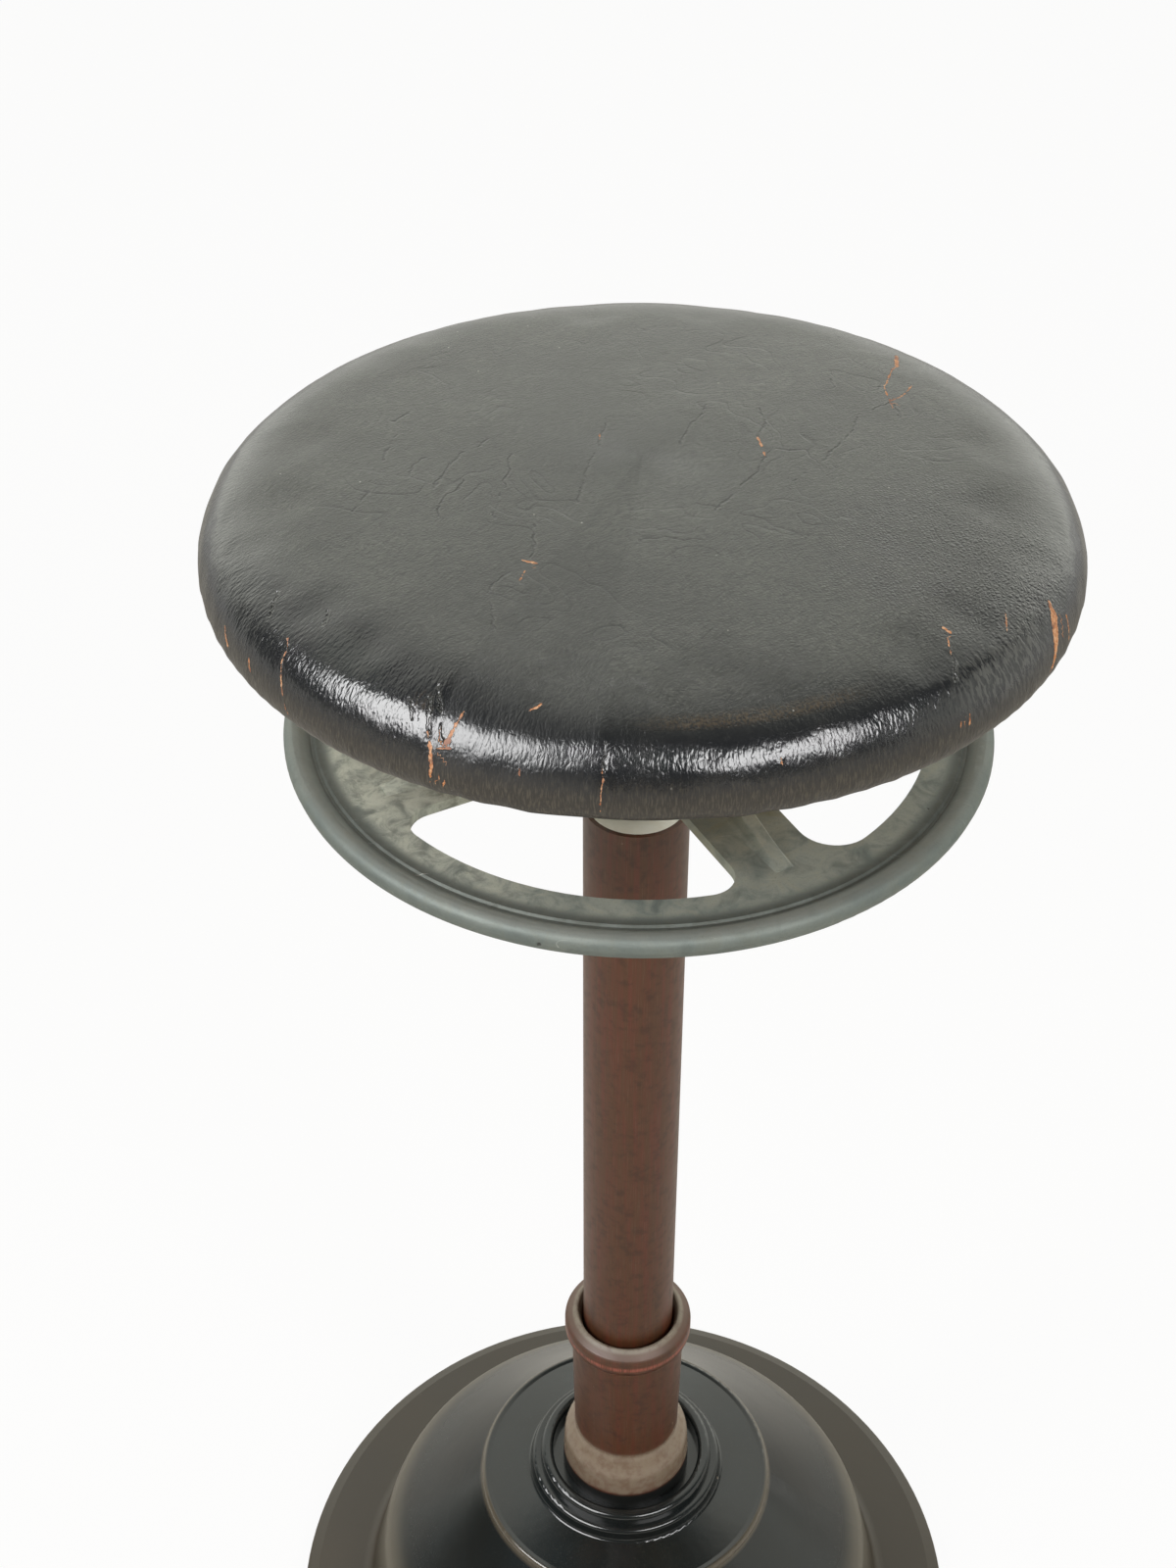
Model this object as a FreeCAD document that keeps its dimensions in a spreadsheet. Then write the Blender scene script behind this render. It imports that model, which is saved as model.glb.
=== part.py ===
import FreeCAD, Part
import Sketcher
import math
import os

# Dental stool: a round leather seat that swivels on a screw spindle. A cast handwheel under the seat
# turns the spindle in the nut at the top of the column and so sets the height.
# Millimetres, +Z up. The origin is on the floor at the column's axis.

# Driving dimensions.
SIZES = {
    # Base casting: an enamelled bell of cast iron, hollow underneath.
    "base_radius": 179.9,
    "base_foot_inset": 2.5,
    "base_edge_height": 9.0,
    "base_edge_rounding": 4.0,
    "base_wall": 7.0,
    "base_height": 131.2,
    "flange_height": 15.0,
    "flange_slope": 2.5,
    "dome_foot_rounding": 8.0,
    "dome_run": 10.0,
    "dome_top_rounding": 14.0,
    "crown_width": 54.4,
    "crown_rise": 54.0,
    "step_rise": 4.0,
    "step_rounding": 2.2,
    "step_width": 4.2,
    "step_dip": 0.9,
    "plateau_width": 26.3,
    "plateau_rise": 4.6,
    "hub_ring_height": 12.5,
    "bead_inset": 0.9,
    "bead_rise": 6.7,
    "bead_width": 4.2,
    "bead_rounding": 2.2,
    "hub_neck_inset": 0.4,
    "hub_crest_width": 6.3,
    "hub_crest_rounding": 2.6,
    "hub_recess_depth": 7.2,
    "hub_recess_clearance": 5.6,
    "boss_width": 18.0,
    "boss_depth": 26.0,
    "boss_rounding": 3.0,
    # Column socket: the sleeve that carries the tube, with its tail through the base.
    "socket_height": 120.5,
    "socket_wall": 5.7,
    "socket_foot_flange": 0.8,
    "socket_foot_edge": 4.0,
    "socket_foot_rounding": 2.0,
    "socket_dome_width": 5.4,
    "socket_dome_height": 24.0,
    "socket_dome_rounding": 14.0,
    "socket_waist_inset": 1.3,
    "socket_waist_rise": 7.5,
    "socket_waist_rounding": 6.0,
    "socket_lip_width": 3.5,
    "socket_lip_flare": 5.5,
    "socket_lip_band": 7.7,
    "socket_lip_slope": 5.3,
    "socket_lip_rounding": 3.2,
    "socket_mouth_width": 2.9,
    "socket_mouth_depth": 8.5,
    "socket_mouth_rounding": 1.2,
    "socket_ledge_depth": 19.0,
    "socket_ledge_width": 4.2,
    "tail_wall": 4.7,
    "tail_length": 42.0,
    "tail_chamfer": 1.0,
    "tail_clearance": 0.1,
    "washer_width": 15.0,
    "washer_thickness": 3.0,
    "ring_nut_width": 12.0,
    "ring_nut_thickness": 10.0,
    "ring_nut_slot_count": 4,
    "ring_nut_slot_width": 6.0,
    "ring_nut_slot_depth": 5.0,
    "grub_screw_radius": 3.0,
    "grub_screw_length": 4.8,
    "grub_screw_height": 66.0,
    "grub_key_radius": 1.6,
    "grub_key_depth": 2.4,
    # Column tube, and the threaded nut plugged into its top.
    "tube_radius": 22.225,
    "tube_wall": 2.0,
    "tube_clearance": 0.1,
    "nut_length": 45.0,
    "nut_chamfer": 1.0,
    "lock_pin_radius": 2.0,
    "lock_pin_length": 7.0,
    "lock_pin_depth": 20.0,
    # Screw spindle.
    "spindle_radius": 9.0,
    "spindle_clearance": 0.05,
    "spindle_chamfer": 1.0,
    "collar_width": 7.0,
    "collar_thickness": 6.0,
    "collar_chamfer": 0.8,
    "journal_step": 1.0,
    "thread_end_step": 2.0,
    "thread_end_spare": 1.8,
    "lift_up": 100.0,
    "lift_down": 20.0,
    "stop_clearance": 1.0,
    "wheel_clearance": 3.0,
    "guide_clearance": 0.5,
    "guide_thickness": 8.0,
    "end_screw_radius": 3.0,
    "end_screw_length": 20.0,
    "end_screw_head_radius": 6.0,
    "end_screw_head_thickness": 4.0,
    "end_screw_key_radius": 2.5,
    "end_screw_key_depth": 2.4,
    # Handwheel: cast aluminium, with a rolled rim round a flat plate with four windows.
    "wheel_radius": 141.0,
    "wheel_plate_foot": 20.1,
    "wheel_plate_thickness": 4.5,
    "wheel_edge_rise": 1.9,
    "wheel_crest_inset": 5.2,
    "wheel_crest_rise": 2.4,
    "wheel_groove_inset": 10.4,
    "wheel_groove_depth": 0.8,
    "wheel_groove_width": 1.2,
    "wheel_hook_drop": 1.6,
    "wheel_hook_inset": 1.2,
    "wheel_hook_rounding": 1.5,
    "wheel_rim_wall": 3.6,
    "wheel_rim_rounding": 3.8,
    "wheel_hollow_rounding": 1.6,
    "wheel_rim_width": 26.0,
    "window_hub_width": 23.0,
    "window_small_rounding": 11.0,
    "window_large_rounding": 15.0,
    "window_hub_rounding": 7.0,
    "spoke_half_width": 16.4,
    "spoke_angle": 29.4,
    "spoke_count": 4,
    "rib_nose_inset": 4.0,
    "rib_ramp_length": 31.0,
    "rib_rise": 8.0,
    "rib_nose_rise": 0.5,
    "rib_foot_half_width": 4.0,
    "rib_foot_rounding": 2.6,
    "rib_top_half_width": 2.7,
    "rib_top_rounding": 1.0,
    "rib_skirt": 3.0,
    "rib_root": 1.5,
    "wheel_hub_length": 38.0,
    "wheel_hub_wall": 9.0,
    "wheel_hub_swell": 2.0,
    "wheel_hub_chamfer": 1.0,
    "wheel_hub_rounding": 5.0,
    "wheel_pin_radius": 2.5,
    "wheel_pin_proud": 1.0,
    "wheel_pin_height": 8.0,
    "wheel_pin_clearance": 0.05,
    # Thrust bearing between spindle and seat.
    "race_thickness": 3.0,
    "race_bore_clearance": 0.4,
    "groove_depth": 0.5,
    "ball_radius": 2.45,
    "ball_play": 0.05,
    "ball_pitch_offset": 4.0,
    "ball_count": 12,
    "cage_inset": 0.6,
    "cage_thickness": 2.4,
    "cage_play": 0.1,
    # Seat flange, its bush and fasteners.
    "flange_plate_radius": 80.0,
    "flange_plate_thickness": 6.0,
    "flange_boss_wall": 13.0,
    "flange_boss_length": 40.0,
    "flange_boss_rounding": 10.0,
    "flange_edge_rounding": 2.0,
    "nut_pocket_clearance": 1.5,
    "nut_pocket_depth": 14.0,
    "bush_wall": 3.0,
    "bush_fit": 0.02,
    "bush_play": 0.05,
    "bush_recess": 2.0,
    "pivot_washer_width": 6.5,
    "pivot_washer_thickness": 2.0,
    "pivot_washer_play": 0.2,
    "pivot_nut_width": 5.0,
    "pivot_nut_thickness": 6.0,
    "flange_screw_inset": 15.0,
    "flange_screw_count": 4,
    "flange_screw_radius": 2.5,
    "flange_screw_head_radius": 4.8,
    "flange_screw_reach": 12.0,
    "screw_play": 0.1,
    # Seat: a wooden board and its stuffing under a leather cover.
    "seat_radius": 165.0,
    "seat_height": 730.3,
    "seat_crown": 6.0,
    "shoulder_width": 39.0,
    "shoulder_height": 28.7,
    "side_straight": 0.4,
    "hem_rounding": 6.8,
    "hem_width": 18.0,
    "cover_thickness": 1.6,
    "board_thickness": 15.0,
    "board_inset": 8.0,
    "board_rounding": 3.0,
    "pad_lap": 0.6,
    "soft_gap": 0.3,
    "tack_count": 24,
    "tack_inset": 3.0,
    "tack_head_radius": 3.6,
    "tack_head_rise": 1.4,
    "tack_shank_radius": 0.9,
    "tack_shank_length": 9.0,
    # Length by which every cut runs past what it cuts.
    "overrun": 5.0,
}

FULL_TURN = 360.0
QUARTER_TURN = 90.0
# The rolled shoulder's knee lies where an ellipse's does at an eighth of a turn.
KNEE_SHARE = math.sqrt(0.5)
LEFT = 1
RIGHT = -1
Z_AXIS = FreeCAD.Vector(0, 0, 1)


class Size:
    """A size of the model: its present value, and the expression that ties it to the sheet."""

    def __init__(self, value, text):
        self.value = value
        self.text = text

    def joined(self, sign, other, value):
        text = other.text if isinstance(other, Size) else repr(other)
        return Size(value, f"({self.text} {sign} {text})")

    def __add__(self, other):
        return self.joined("+", other, self.value + number(other))

    def __sub__(self, other):
        return self.joined("-", other, self.value - number(other))

    def __mul__(self, other):
        return self.joined("*", other, self.value * number(other))

    def __rmul__(self, other):
        return self.joined("*", other, self.value * other)

    def __truediv__(self, other):
        return self.joined("/", other, self.value / number(other))


def number(size):
    return size.value if isinstance(size, Size) else size


def root(size):
    """The square root of a size, for the third side of a right triangle."""
    return Size(math.sqrt(size.value), f"sqrt({size.text})")


class Sheet:
    """The spreadsheet of driving dimensions. Each one is read back as a Size of the same name."""

    def __init__(self, document, sizes):
        cells = document.addObject("Spreadsheet::Sheet", "Sizes")
        for row, (name, value) in enumerate(sizes.items(), start=1):
            cells.set(f"A{row}", name)
            cells.set(f"B{row}", str(value))
            cells.setAlias(f"B{row}", name)
        self.sizes = {name: Size(value, f"Sizes.{name}") for name, value in sizes.items()}

    def __getattr__(self, name):
        return self.sizes[name]


class Outline:
    """A closed outline in a sketch, through points that are given as (across, up) sizes."""

    def __init__(self):
        self.points = []
        self.runs = []

    def point(self, across, up, rounding=None):
        """A point that a straight run leads to, rounded by an arc if a rounding is given."""
        self.points.append((across, up, rounding))
        self.runs.append(None)
        return self

    def arc(self, across, up, radius, side):
        """A point that an arc leads to. The arc's centre is on its left or its right."""
        self.points.append((across, up, None))
        self.runs.append((radius, side))
        return self

    def draw(self, sketch):
        """Draws every run, then ties its ends to each other and to the sheet."""
        self.sketch = sketch
        self.rules = []
        self.bound = []
        count = len(self.points)
        places = [FreeCAD.Vector(number(x), number(y), 0) for x, y, _ in self.points]
        corners = [self.corner(places, k) for k in range(count)]
        joints = []
        for k in range(count):
            before = (k - 1) % count
            run = self.runs[k]
            start = corners[before][1]
            end = corners[k][0]
            joints.append(self.line(start, end) if run is None else self.bend(start, end, run))
        for k in range(count):
            arriving = joints[k]
            leaving = joints[(k + 1) % count]
            self.join(k, corners[k], arriving, leaving)
        sketch.addConstraint(self.rules)
        for index, size in self.bound:
            sketch.setExpression(f"Constraints[{index}]", size.text)

    def corner(self, places, k):
        """Where the runs before and after a point end: at the point, or where its rounding does."""
        here = places[k]
        rounding = self.points[k][2]
        if rounding is None:
            return here, here, None
        back = (places[k - 1] - here).normalize()
        ahead = (places[(k + 1) % len(places)] - here).normalize()
        half = back.getAngle(ahead) / 2
        radius = number(rounding)
        middle = (back + ahead).normalize() * (radius / math.sin(half))
        length = radius / math.tan(half)
        return here + back * length, here + ahead * length, here + middle

    def line(self, start, end):
        index = self.sketch.addGeometry(Part.LineSegment(start, end))
        return index, 1, 2

    def turned_arc(self, centre, start, end, side):
        """An arc between two points. A sketch keeps it anticlockwise, so a right bend swaps its ends."""
        radius = (start - centre).Length
        first, last = (start, end) if side == LEFT else (end, start)
        low = math.atan2(first.y - centre.y, first.x - centre.x)
        high = math.atan2(last.y - centre.y, last.x - centre.x)
        if high < low:
            high += math.radians(FULL_TURN)
        circle = Part.Circle(centre, Z_AXIS, radius)
        index = self.sketch.addGeometry(Part.ArcOfCircle(circle, low, high))
        return (index, 1, 2) if side == LEFT else (index, 2, 1)

    def bend(self, start, end, run):
        radius, side = run
        half = (end - start) / 2
        across = FreeCAD.Vector(-half.y, half.x, 0).normalize() * side
        depth = math.sqrt(number(radius) ** 2 - half.Length**2)
        index, first, last = self.turned_arc(start + half + across * depth, start, end, side)
        self.fix("Radius", index, size=radius)
        return index, first, last

    def join(self, k, corner, arriving, leaving):
        across, up, rounding = self.points[k]
        before, _, end = arriving
        after, start, _ = leaving
        if rounding is None:
            self.rules.append(Sketcher.Constraint("Coincident", before, end, after, start))
            self.locate(after, start, across, up)
            return
        first, last, centre = corner
        turn = (first - centre).cross(last - centre).z
        arc, arc_start, arc_end = self.turned_arc(centre, first, last, LEFT if turn > 0 else RIGHT)
        mark = self.sketch.addGeometry(Part.Point(FreeCAD.Vector(number(across), number(up), 0)), True)
        self.rules.append(Sketcher.Constraint("Tangent", before, end, arc, arc_start))
        self.rules.append(Sketcher.Constraint("Tangent", arc, arc_end, after, start))
        self.rules.append(Sketcher.Constraint("PointOnObject", mark, 1, before))
        self.rules.append(Sketcher.Constraint("PointOnObject", mark, 1, after))
        self.locate(mark, 1, across, up)
        self.fix("Radius", arc, size=rounding)

    def locate(self, index, end, across, up):
        """Ties a point to the sketch's two axes."""
        for size, kind, axis in ((across, "DistanceX", -2), (up, "DistanceY", -1)):
            if number(size) == 0:
                self.rules.append(Sketcher.Constraint("PointOnObject", index, end, axis))
            else:
                self.fix(kind, -1, 1, index, end, size=size)

    def fix(self, kind, *places, size):
        self.bound.append((len(self.rules), size))
        self.rules.append(Sketcher.Constraint(kind, *places, number(size)))


class Circles:
    """Circles in a sketch, each given as (across, up, radius)."""

    def __init__(self, *circles):
        self.circles = circles

    def draw(self, sketch):
        for across, up, radius in self.circles:
            centre = FreeCAD.Vector(number(across), number(up), 0)
            index = sketch.addGeometry(Part.Circle(centre, Z_AXIS, number(radius)))
            for size, kind, axis in ((across, "DistanceX", -2), (up, "DistanceY", -1)):
                if number(size) == 0:
                    sketch.addConstraint(Sketcher.Constraint("PointOnObject", index, 3, axis))
                else:
                    rule = sketch.addConstraint(
                        Sketcher.Constraint(kind, -1, 1, index, 3, number(size))
                    )
                    sketch.setExpression(f"Constraints[{rule}]", size.text)
            rule = sketch.addConstraint(Sketcher.Constraint("Radius", index, number(radius)))
            sketch.setExpression(f"Constraints[{rule}]", radius.text)


def add_sketch(body, name, plane, drawing, offset=None, turned=0.0):
    """A sketch on one of its body's own origin planes, moved off it or turned on it if asked."""
    sketch = body.newObject("Sketcher::SketchObject", name)
    support = next(o for o in body.Origin.OriginFeatures if o.Role == plane)
    sketch.AttachmentSupport = [(support, "")]
    sketch.MapMode = "FlatFace"
    if turned:
        sketch.AttachmentOffset = FreeCAD.Placement(
            FreeCAD.Vector(), FreeCAD.Rotation(Z_AXIS, turned)
        )
    if offset is not None:
        sketch.setExpression("AttachmentOffset.Base.z", offset.text)
    drawing.draw(sketch)
    return sketch


class Pieces:
    """The stool's sub-parts, made one by one in a document."""

    def __init__(self, document, sheet):
        self.document = document
        self.s = sheet
        self.made = []

    def keep(self, piece, label, foot=None):
        """Names a sub-part and stands it at its height."""
        piece.Label = label
        if foot is not None:
            piece.setExpression("Placement.Base.z", foot.text)
        self.made.append(piece)
        return piece

    def body(self, label, foot=None):
        return self.keep(self.document.addObject("PartDesign::Body", label), label, foot)

    def turned(self, label, outline, foot=None):
        """A body of revolution about the column's axis."""
        body = self.body(label, foot)
        profile = add_sketch(body, f"{label}_profile", "XZ_Plane", outline)
        turn = body.newObject("PartDesign::Revolution", f"{label}_turn")
        turn.Profile = profile
        turn.ReferenceAxis = (profile, ["V_Axis"])
        turn.Angle = FULL_TURN
        return body

    def disc(self, label, drawing, thickness, foot):
        """A flat body: a drawing on the ground plane, padded up."""
        body = self.body(label, foot)
        pad = body.newObject("PartDesign::Pad", f"{label}_pad")
        pad.Profile = add_sketch(body, f"{label}_plan", "XY_Plane", drawing)
        pad.setExpression("Length", thickness.text)
        return body

    def cut(self, body, name, plane, drawing, length, offset=None, turned=0.0, reverse=False):
        """A pocket in a body, of a drawing on one of its planes."""
        pocket = body.newObject("PartDesign::Pocket", name)
        pocket.Profile = add_sketch(body, f"{name}_plan", plane, drawing, offset, turned)
        pocket.Reversed = reverse
        pocket.setExpression("Length", length.text)
        return pocket

    def repeat(self, body, feature, name, count):
        """Repeats a feature round the body's own vertical axis."""
        axis = next(o for o in body.Origin.OriginFeatures if o.Role == "Z_Axis")
        pattern = body.newObject("PartDesign::PolarPattern", name)
        pattern.Originals = [feature]
        pattern.Axis = (axis, [""])
        pattern.Angle = FULL_TURN
        pattern.Occurrences = int(count.value)
        pattern.setExpression("Occurrences", count.text)
        body.Tip = pattern

    def face_spokes(self, body):
        """Turns a body so that its own X axis lies along the first spoke."""
        angle = self.s.spoke_angle
        turn = FreeCAD.Rotation(Z_AXIS, angle.value)
        body.Placement = FreeCAD.Placement(body.Placement.Base, turn)
        body.setExpression("Placement.Rotation.Angle", angle.text)

    def base_casting(self):
        s = self.s
        thin = s.base_wall
        tail = self.tail_radius() + s.tail_clearance
        recess = self.socket_foot_radius() + s.hub_recess_clearance
        crest = recess + s.hub_crest_width
        bead = crest + s.hub_neck_inset + s.bead_width
        ring = bead + s.bead_inset
        step = ring + s.plateau_width
        dome_top = step + s.crown_width
        dome_foot = dome_top + s.dome_run
        boss = self.tail_radius() + s.boss_width
        ring_height = s.base_height - s.hub_ring_height
        plateau = ring_height - s.plateau_rise
        step_height = plateau + s.step_dip
        bead_height = ring_height + s.bead_rise
        dome_height = step_height - s.step_rise - s.crown_rise
        outline = Outline()
        outline.point(s.base_radius - s.base_foot_inset, 0)
        outline.point(s.base_radius, s.base_edge_height, s.base_edge_rounding)
        outline.point(s.base_radius - s.base_edge_rounding * 2, s.flange_height - s.flange_slope)
        outline.point(dome_foot, s.flange_height, s.dome_foot_rounding)
        outline.point(dome_top, dome_height, s.dome_top_rounding)
        outline.point(step, step_height - s.step_rise)
        outline.point(step, step_height, s.step_rounding)
        outline.point(step - s.step_width, plateau)
        outline.point(ring, ring_height, s.bead_rounding)
        outline.point(bead, bead_height, s.bead_rounding)
        outline.point(bead - s.bead_width, bead_height)
        outline.point(crest, s.base_height, s.hub_crest_rounding)
        outline.point(recess, s.base_height, s.hub_crest_rounding)
        outline.point(recess, self.socket_foot())
        outline.point(tail, self.socket_foot())
        outline.point(tail, self.boss_foot())
        outline.point(boss, self.boss_foot(), s.boss_rounding)
        outline.point(boss, plateau - thin, s.boss_rounding)
        outline.point(step - thin, plateau - thin, s.step_rounding * 4)
        outline.point(dome_top - thin, dome_height - thin, s.dome_top_rounding - thin)
        outline.point(dome_foot - thin, s.flange_height - thin, s.dome_foot_rounding)
        outline.point(s.base_radius - thin * 2, s.flange_height - s.flange_slope - thin)
        outline.point(s.base_radius - thin * 2, 0)
        self.turned("base_casting", outline)

    def socket_foot(self):
        """Height of the face that the socket stands on."""
        return self.s.base_height - self.s.hub_recess_depth

    def boss_foot(self):
        return self.socket_foot() - self.s.boss_depth

    def socket_bore(self):
        return self.s.tube_radius + self.s.tube_clearance

    def neck_radius(self):
        return self.socket_bore() + self.s.socket_wall

    def waist_radius(self):
        return self.neck_radius() - self.s.socket_waist_inset

    def socket_foot_radius(self):
        return self.waist_radius() + self.s.socket_dome_width + self.s.socket_foot_flange

    def tail_radius(self):
        return self.socket_bore() + self.s.tail_wall

    def tube_foot(self):
        return self.socket_foot() - self.s.socket_ledge_depth

    def tube_top(self):
        """The wheel, as photographed, stands a little above its lowest, where it meets the tube."""
        return self.wheel_foot() - self.s.lift_down - self.s.wheel_clearance

    def tube_length(self):
        return self.tube_top() - self.tube_foot()

    def socket_outline(self):
        """The socket's section. Its own origin is on the face that it stands on."""
        s = self.s
        bore = self.socket_bore()
        tail = self.tail_radius()
        foot = self.socket_foot_radius()
        waist = self.waist_radius()
        lip = self.neck_radius() + s.socket_lip_width
        ledge = s.tube_radius - s.socket_ledge_width
        lip_edge = s.socket_height - s.socket_lip_slope
        lip_foot = lip_edge - s.socket_lip_band
        outline = Outline()
        outline.point(ledge, s.tail_length * -1)
        outline.point(tail - s.tail_chamfer, s.tail_length * -1)
        outline.point(tail, s.tail_chamfer - s.tail_length)
        outline.point(tail, 0)
        outline.point(foot, 0)
        outline.point(foot, s.socket_foot_edge, s.socket_foot_rounding)
        outline.point(waist + s.socket_dome_width, s.socket_dome_height, s.socket_dome_rounding)
        outline.point(waist, s.socket_dome_height + s.socket_waist_rise, s.socket_waist_rounding)
        outline.point(self.neck_radius(), lip_foot - s.socket_lip_flare)
        outline.point(lip, lip_foot, s.socket_lip_rounding)
        outline.point(lip, lip_edge, s.socket_lip_rounding)
        outline.point(bore + s.socket_mouth_width, s.socket_height, s.socket_mouth_rounding)
        outline.point(bore, s.socket_height - s.socket_mouth_depth)
        outline.point(bore, s.socket_ledge_depth * -1)
        outline.point(ledge, s.socket_ledge_depth * -1)
        return outline

    def column_socket(self):
        """The sleeve, with a tapped hole through its back for the grub screw."""
        s = self.s
        body = self.turned("column_socket", self.socket_outline(), self.socket_foot())
        hole = Circles((Size(0.0, "0"), s.grub_screw_height, s.grub_screw_radius + s.screw_play))
        self.cut(body, "grub_hole", "XZ_Plane", hole, self.neck_radius() + s.overrun)

    def socket_fasteners(self):
        """The washer and slotted ring nut that clamp the socket's tail, and the grub screw."""
        s = self.s
        bore = self.tail_radius() + s.tail_clearance
        washer_foot = self.boss_foot() - s.washer_thickness
        ring = Circles((0, 0, self.tail_radius() + s.washer_width), (0, 0, bore))
        self.disc("socket_washer", ring, s.washer_thickness, washer_foot)
        nut_foot = washer_foot - s.ring_nut_thickness
        nut_radius = self.tail_radius() + s.ring_nut_width
        ring = Circles((0, 0, nut_radius), (0, 0, bore))
        nut = self.disc("socket_ring_nut", ring, s.ring_nut_thickness, nut_foot)
        half = s.ring_nut_slot_width / 2
        slot = Outline()
        slot.point(nut_radius - s.ring_nut_slot_depth, half * -1)
        slot.point(nut_radius + s.overrun, half * -1)
        slot.point(nut_radius + s.overrun, half)
        slot.point(nut_radius - s.ring_nut_slot_depth, half)
        pocket = self.cut(nut, "spanner_slot", "XY_Plane", slot, s.ring_nut_thickness, reverse=True)
        self.repeat(nut, pocket, "spanner_slots", s.ring_nut_slot_count)
        screw = self.body("socket_grub_screw", self.socket_foot())
        pad = screw.newObject("PartDesign::Pad", "grub_shank")
        circle = Circles((Size(0.0, "0"), s.grub_screw_height, s.grub_screw_radius))
        start = self.socket_bore()
        pad.Profile = add_sketch(screw, "grub_end", "XZ_Plane", circle, start * -1)
        pad.Reversed = True
        pad.setExpression("Length", s.grub_screw_length.text)
        key = Circles((Size(0.0, "0"), s.grub_screw_height, s.grub_key_radius))
        end = start + s.grub_screw_length
        self.cut(screw, "grub_key", "XZ_Plane", key, s.grub_key_depth, end * -1, reverse=True)

    def column_tube(self):
        s = self.s
        ring = Circles((0, 0, s.tube_radius), (0, 0, s.tube_radius - s.tube_wall))
        tube = self.disc("column_tube", ring, self.tube_length(), self.tube_foot())
        height = self.tube_length() - s.lock_pin_depth
        hole = Circles((Size(0.0, "0"), height, s.lock_pin_radius + s.screw_play))
        self.cut(tube, "lock_pin_hole", "XZ_Plane", hole, s.tube_radius + s.overrun)

    def spindle_nut(self):
        """The threaded plug in the tube's top, and the pin at the back that locks it."""
        s = self.s
        plug_radius = s.tube_radius - s.tube_wall - s.tube_clearance
        bore = s.spindle_radius + s.spindle_clearance
        outline = Outline()
        outline.point(bore, 0)
        outline.point(plug_radius - s.nut_chamfer, 0)
        outline.point(plug_radius, s.nut_chamfer)
        outline.point(plug_radius, s.nut_length)
        outline.point(bore + s.nut_chamfer, s.nut_length)
        outline.point(bore, s.nut_length - s.nut_chamfer)
        nut = self.turned("spindle_nut", outline, self.tube_top() - s.nut_length)
        height = s.nut_length - s.lock_pin_depth
        inner = s.tube_radius - s.lock_pin_length
        hole = Circles((Size(0.0, "0"), height, s.lock_pin_radius + s.screw_play))
        length = s.lock_pin_length + s.overrun
        self.cut(nut, "nut_pin_hole", "XZ_Plane", hole, length, (inner + length) * -1, reverse=True)
        pin = self.body("nut_lock_pin", self.tube_top())
        pad = pin.newObject("PartDesign::Pad", "lock_pin_pad")
        circle = Circles((Size(0.0, "0"), s.lock_pin_depth * -1, s.lock_pin_radius))
        pad.Profile = add_sketch(pin, "lock_pin_end", "XZ_Plane", circle, inner * -1)
        pad.Reversed = True
        pad.setExpression("Length", s.lock_pin_length.text)

    def side_height(self):
        """Height of the seat's upright side, from its hem to the start of its rolled shoulder."""
        return self.s.hem_rounding + self.s.side_straight

    def seat_foot(self):
        """Height of the leather's hem. The seat's height leads, and all below it follows."""
        s = self.s
        return s.seat_height - s.seat_crown - s.shoulder_height - self.side_height()

    def board_foot(self):
        return self.seat_foot() + self.s.cover_thickness

    def flange_foot(self):
        """Height of the seat flange's boss, on the upper race."""
        return self.board_foot() - self.s.flange_plate_thickness - self.s.flange_boss_length

    def race_rise(self):
        """Height of the balls' centres above the back of the race that they roll on."""
        s = self.s
        return s.race_thickness - s.groove_depth + s.ball_radius + s.ball_play

    def ball_height(self):
        return self.flange_foot() - self.race_rise()

    def race_foot(self):
        return self.ball_height() - self.race_rise()

    def collar_foot(self):
        return self.race_foot() - self.s.collar_thickness

    def wheel_foot(self):
        return self.collar_foot() - self.s.wheel_hub_length

    def collar_radius(self):
        return self.s.spindle_radius + self.s.collar_width

    def journal_radius(self):
        return self.s.spindle_radius - self.s.journal_step

    def thread_end_radius(self):
        return self.journal_radius() - self.s.thread_end_step

    def hub_neck_radius(self):
        return self.s.spindle_radius + self.s.wheel_hub_wall

    def hub_radius(self):
        return self.hub_neck_radius() + self.s.wheel_hub_swell

    def window_radius(self):
        return self.s.wheel_radius - self.s.wheel_rim_width

    def bush_top(self):
        return self.board_foot() - self.s.nut_pocket_depth

    def spindle_foot(self):
        """The guide disc on the spindle's foot meets the nut when the seat is at its highest."""
        s = self.s
        return self.tube_top() - s.nut_length - s.lift_up - s.stop_clearance

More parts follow.
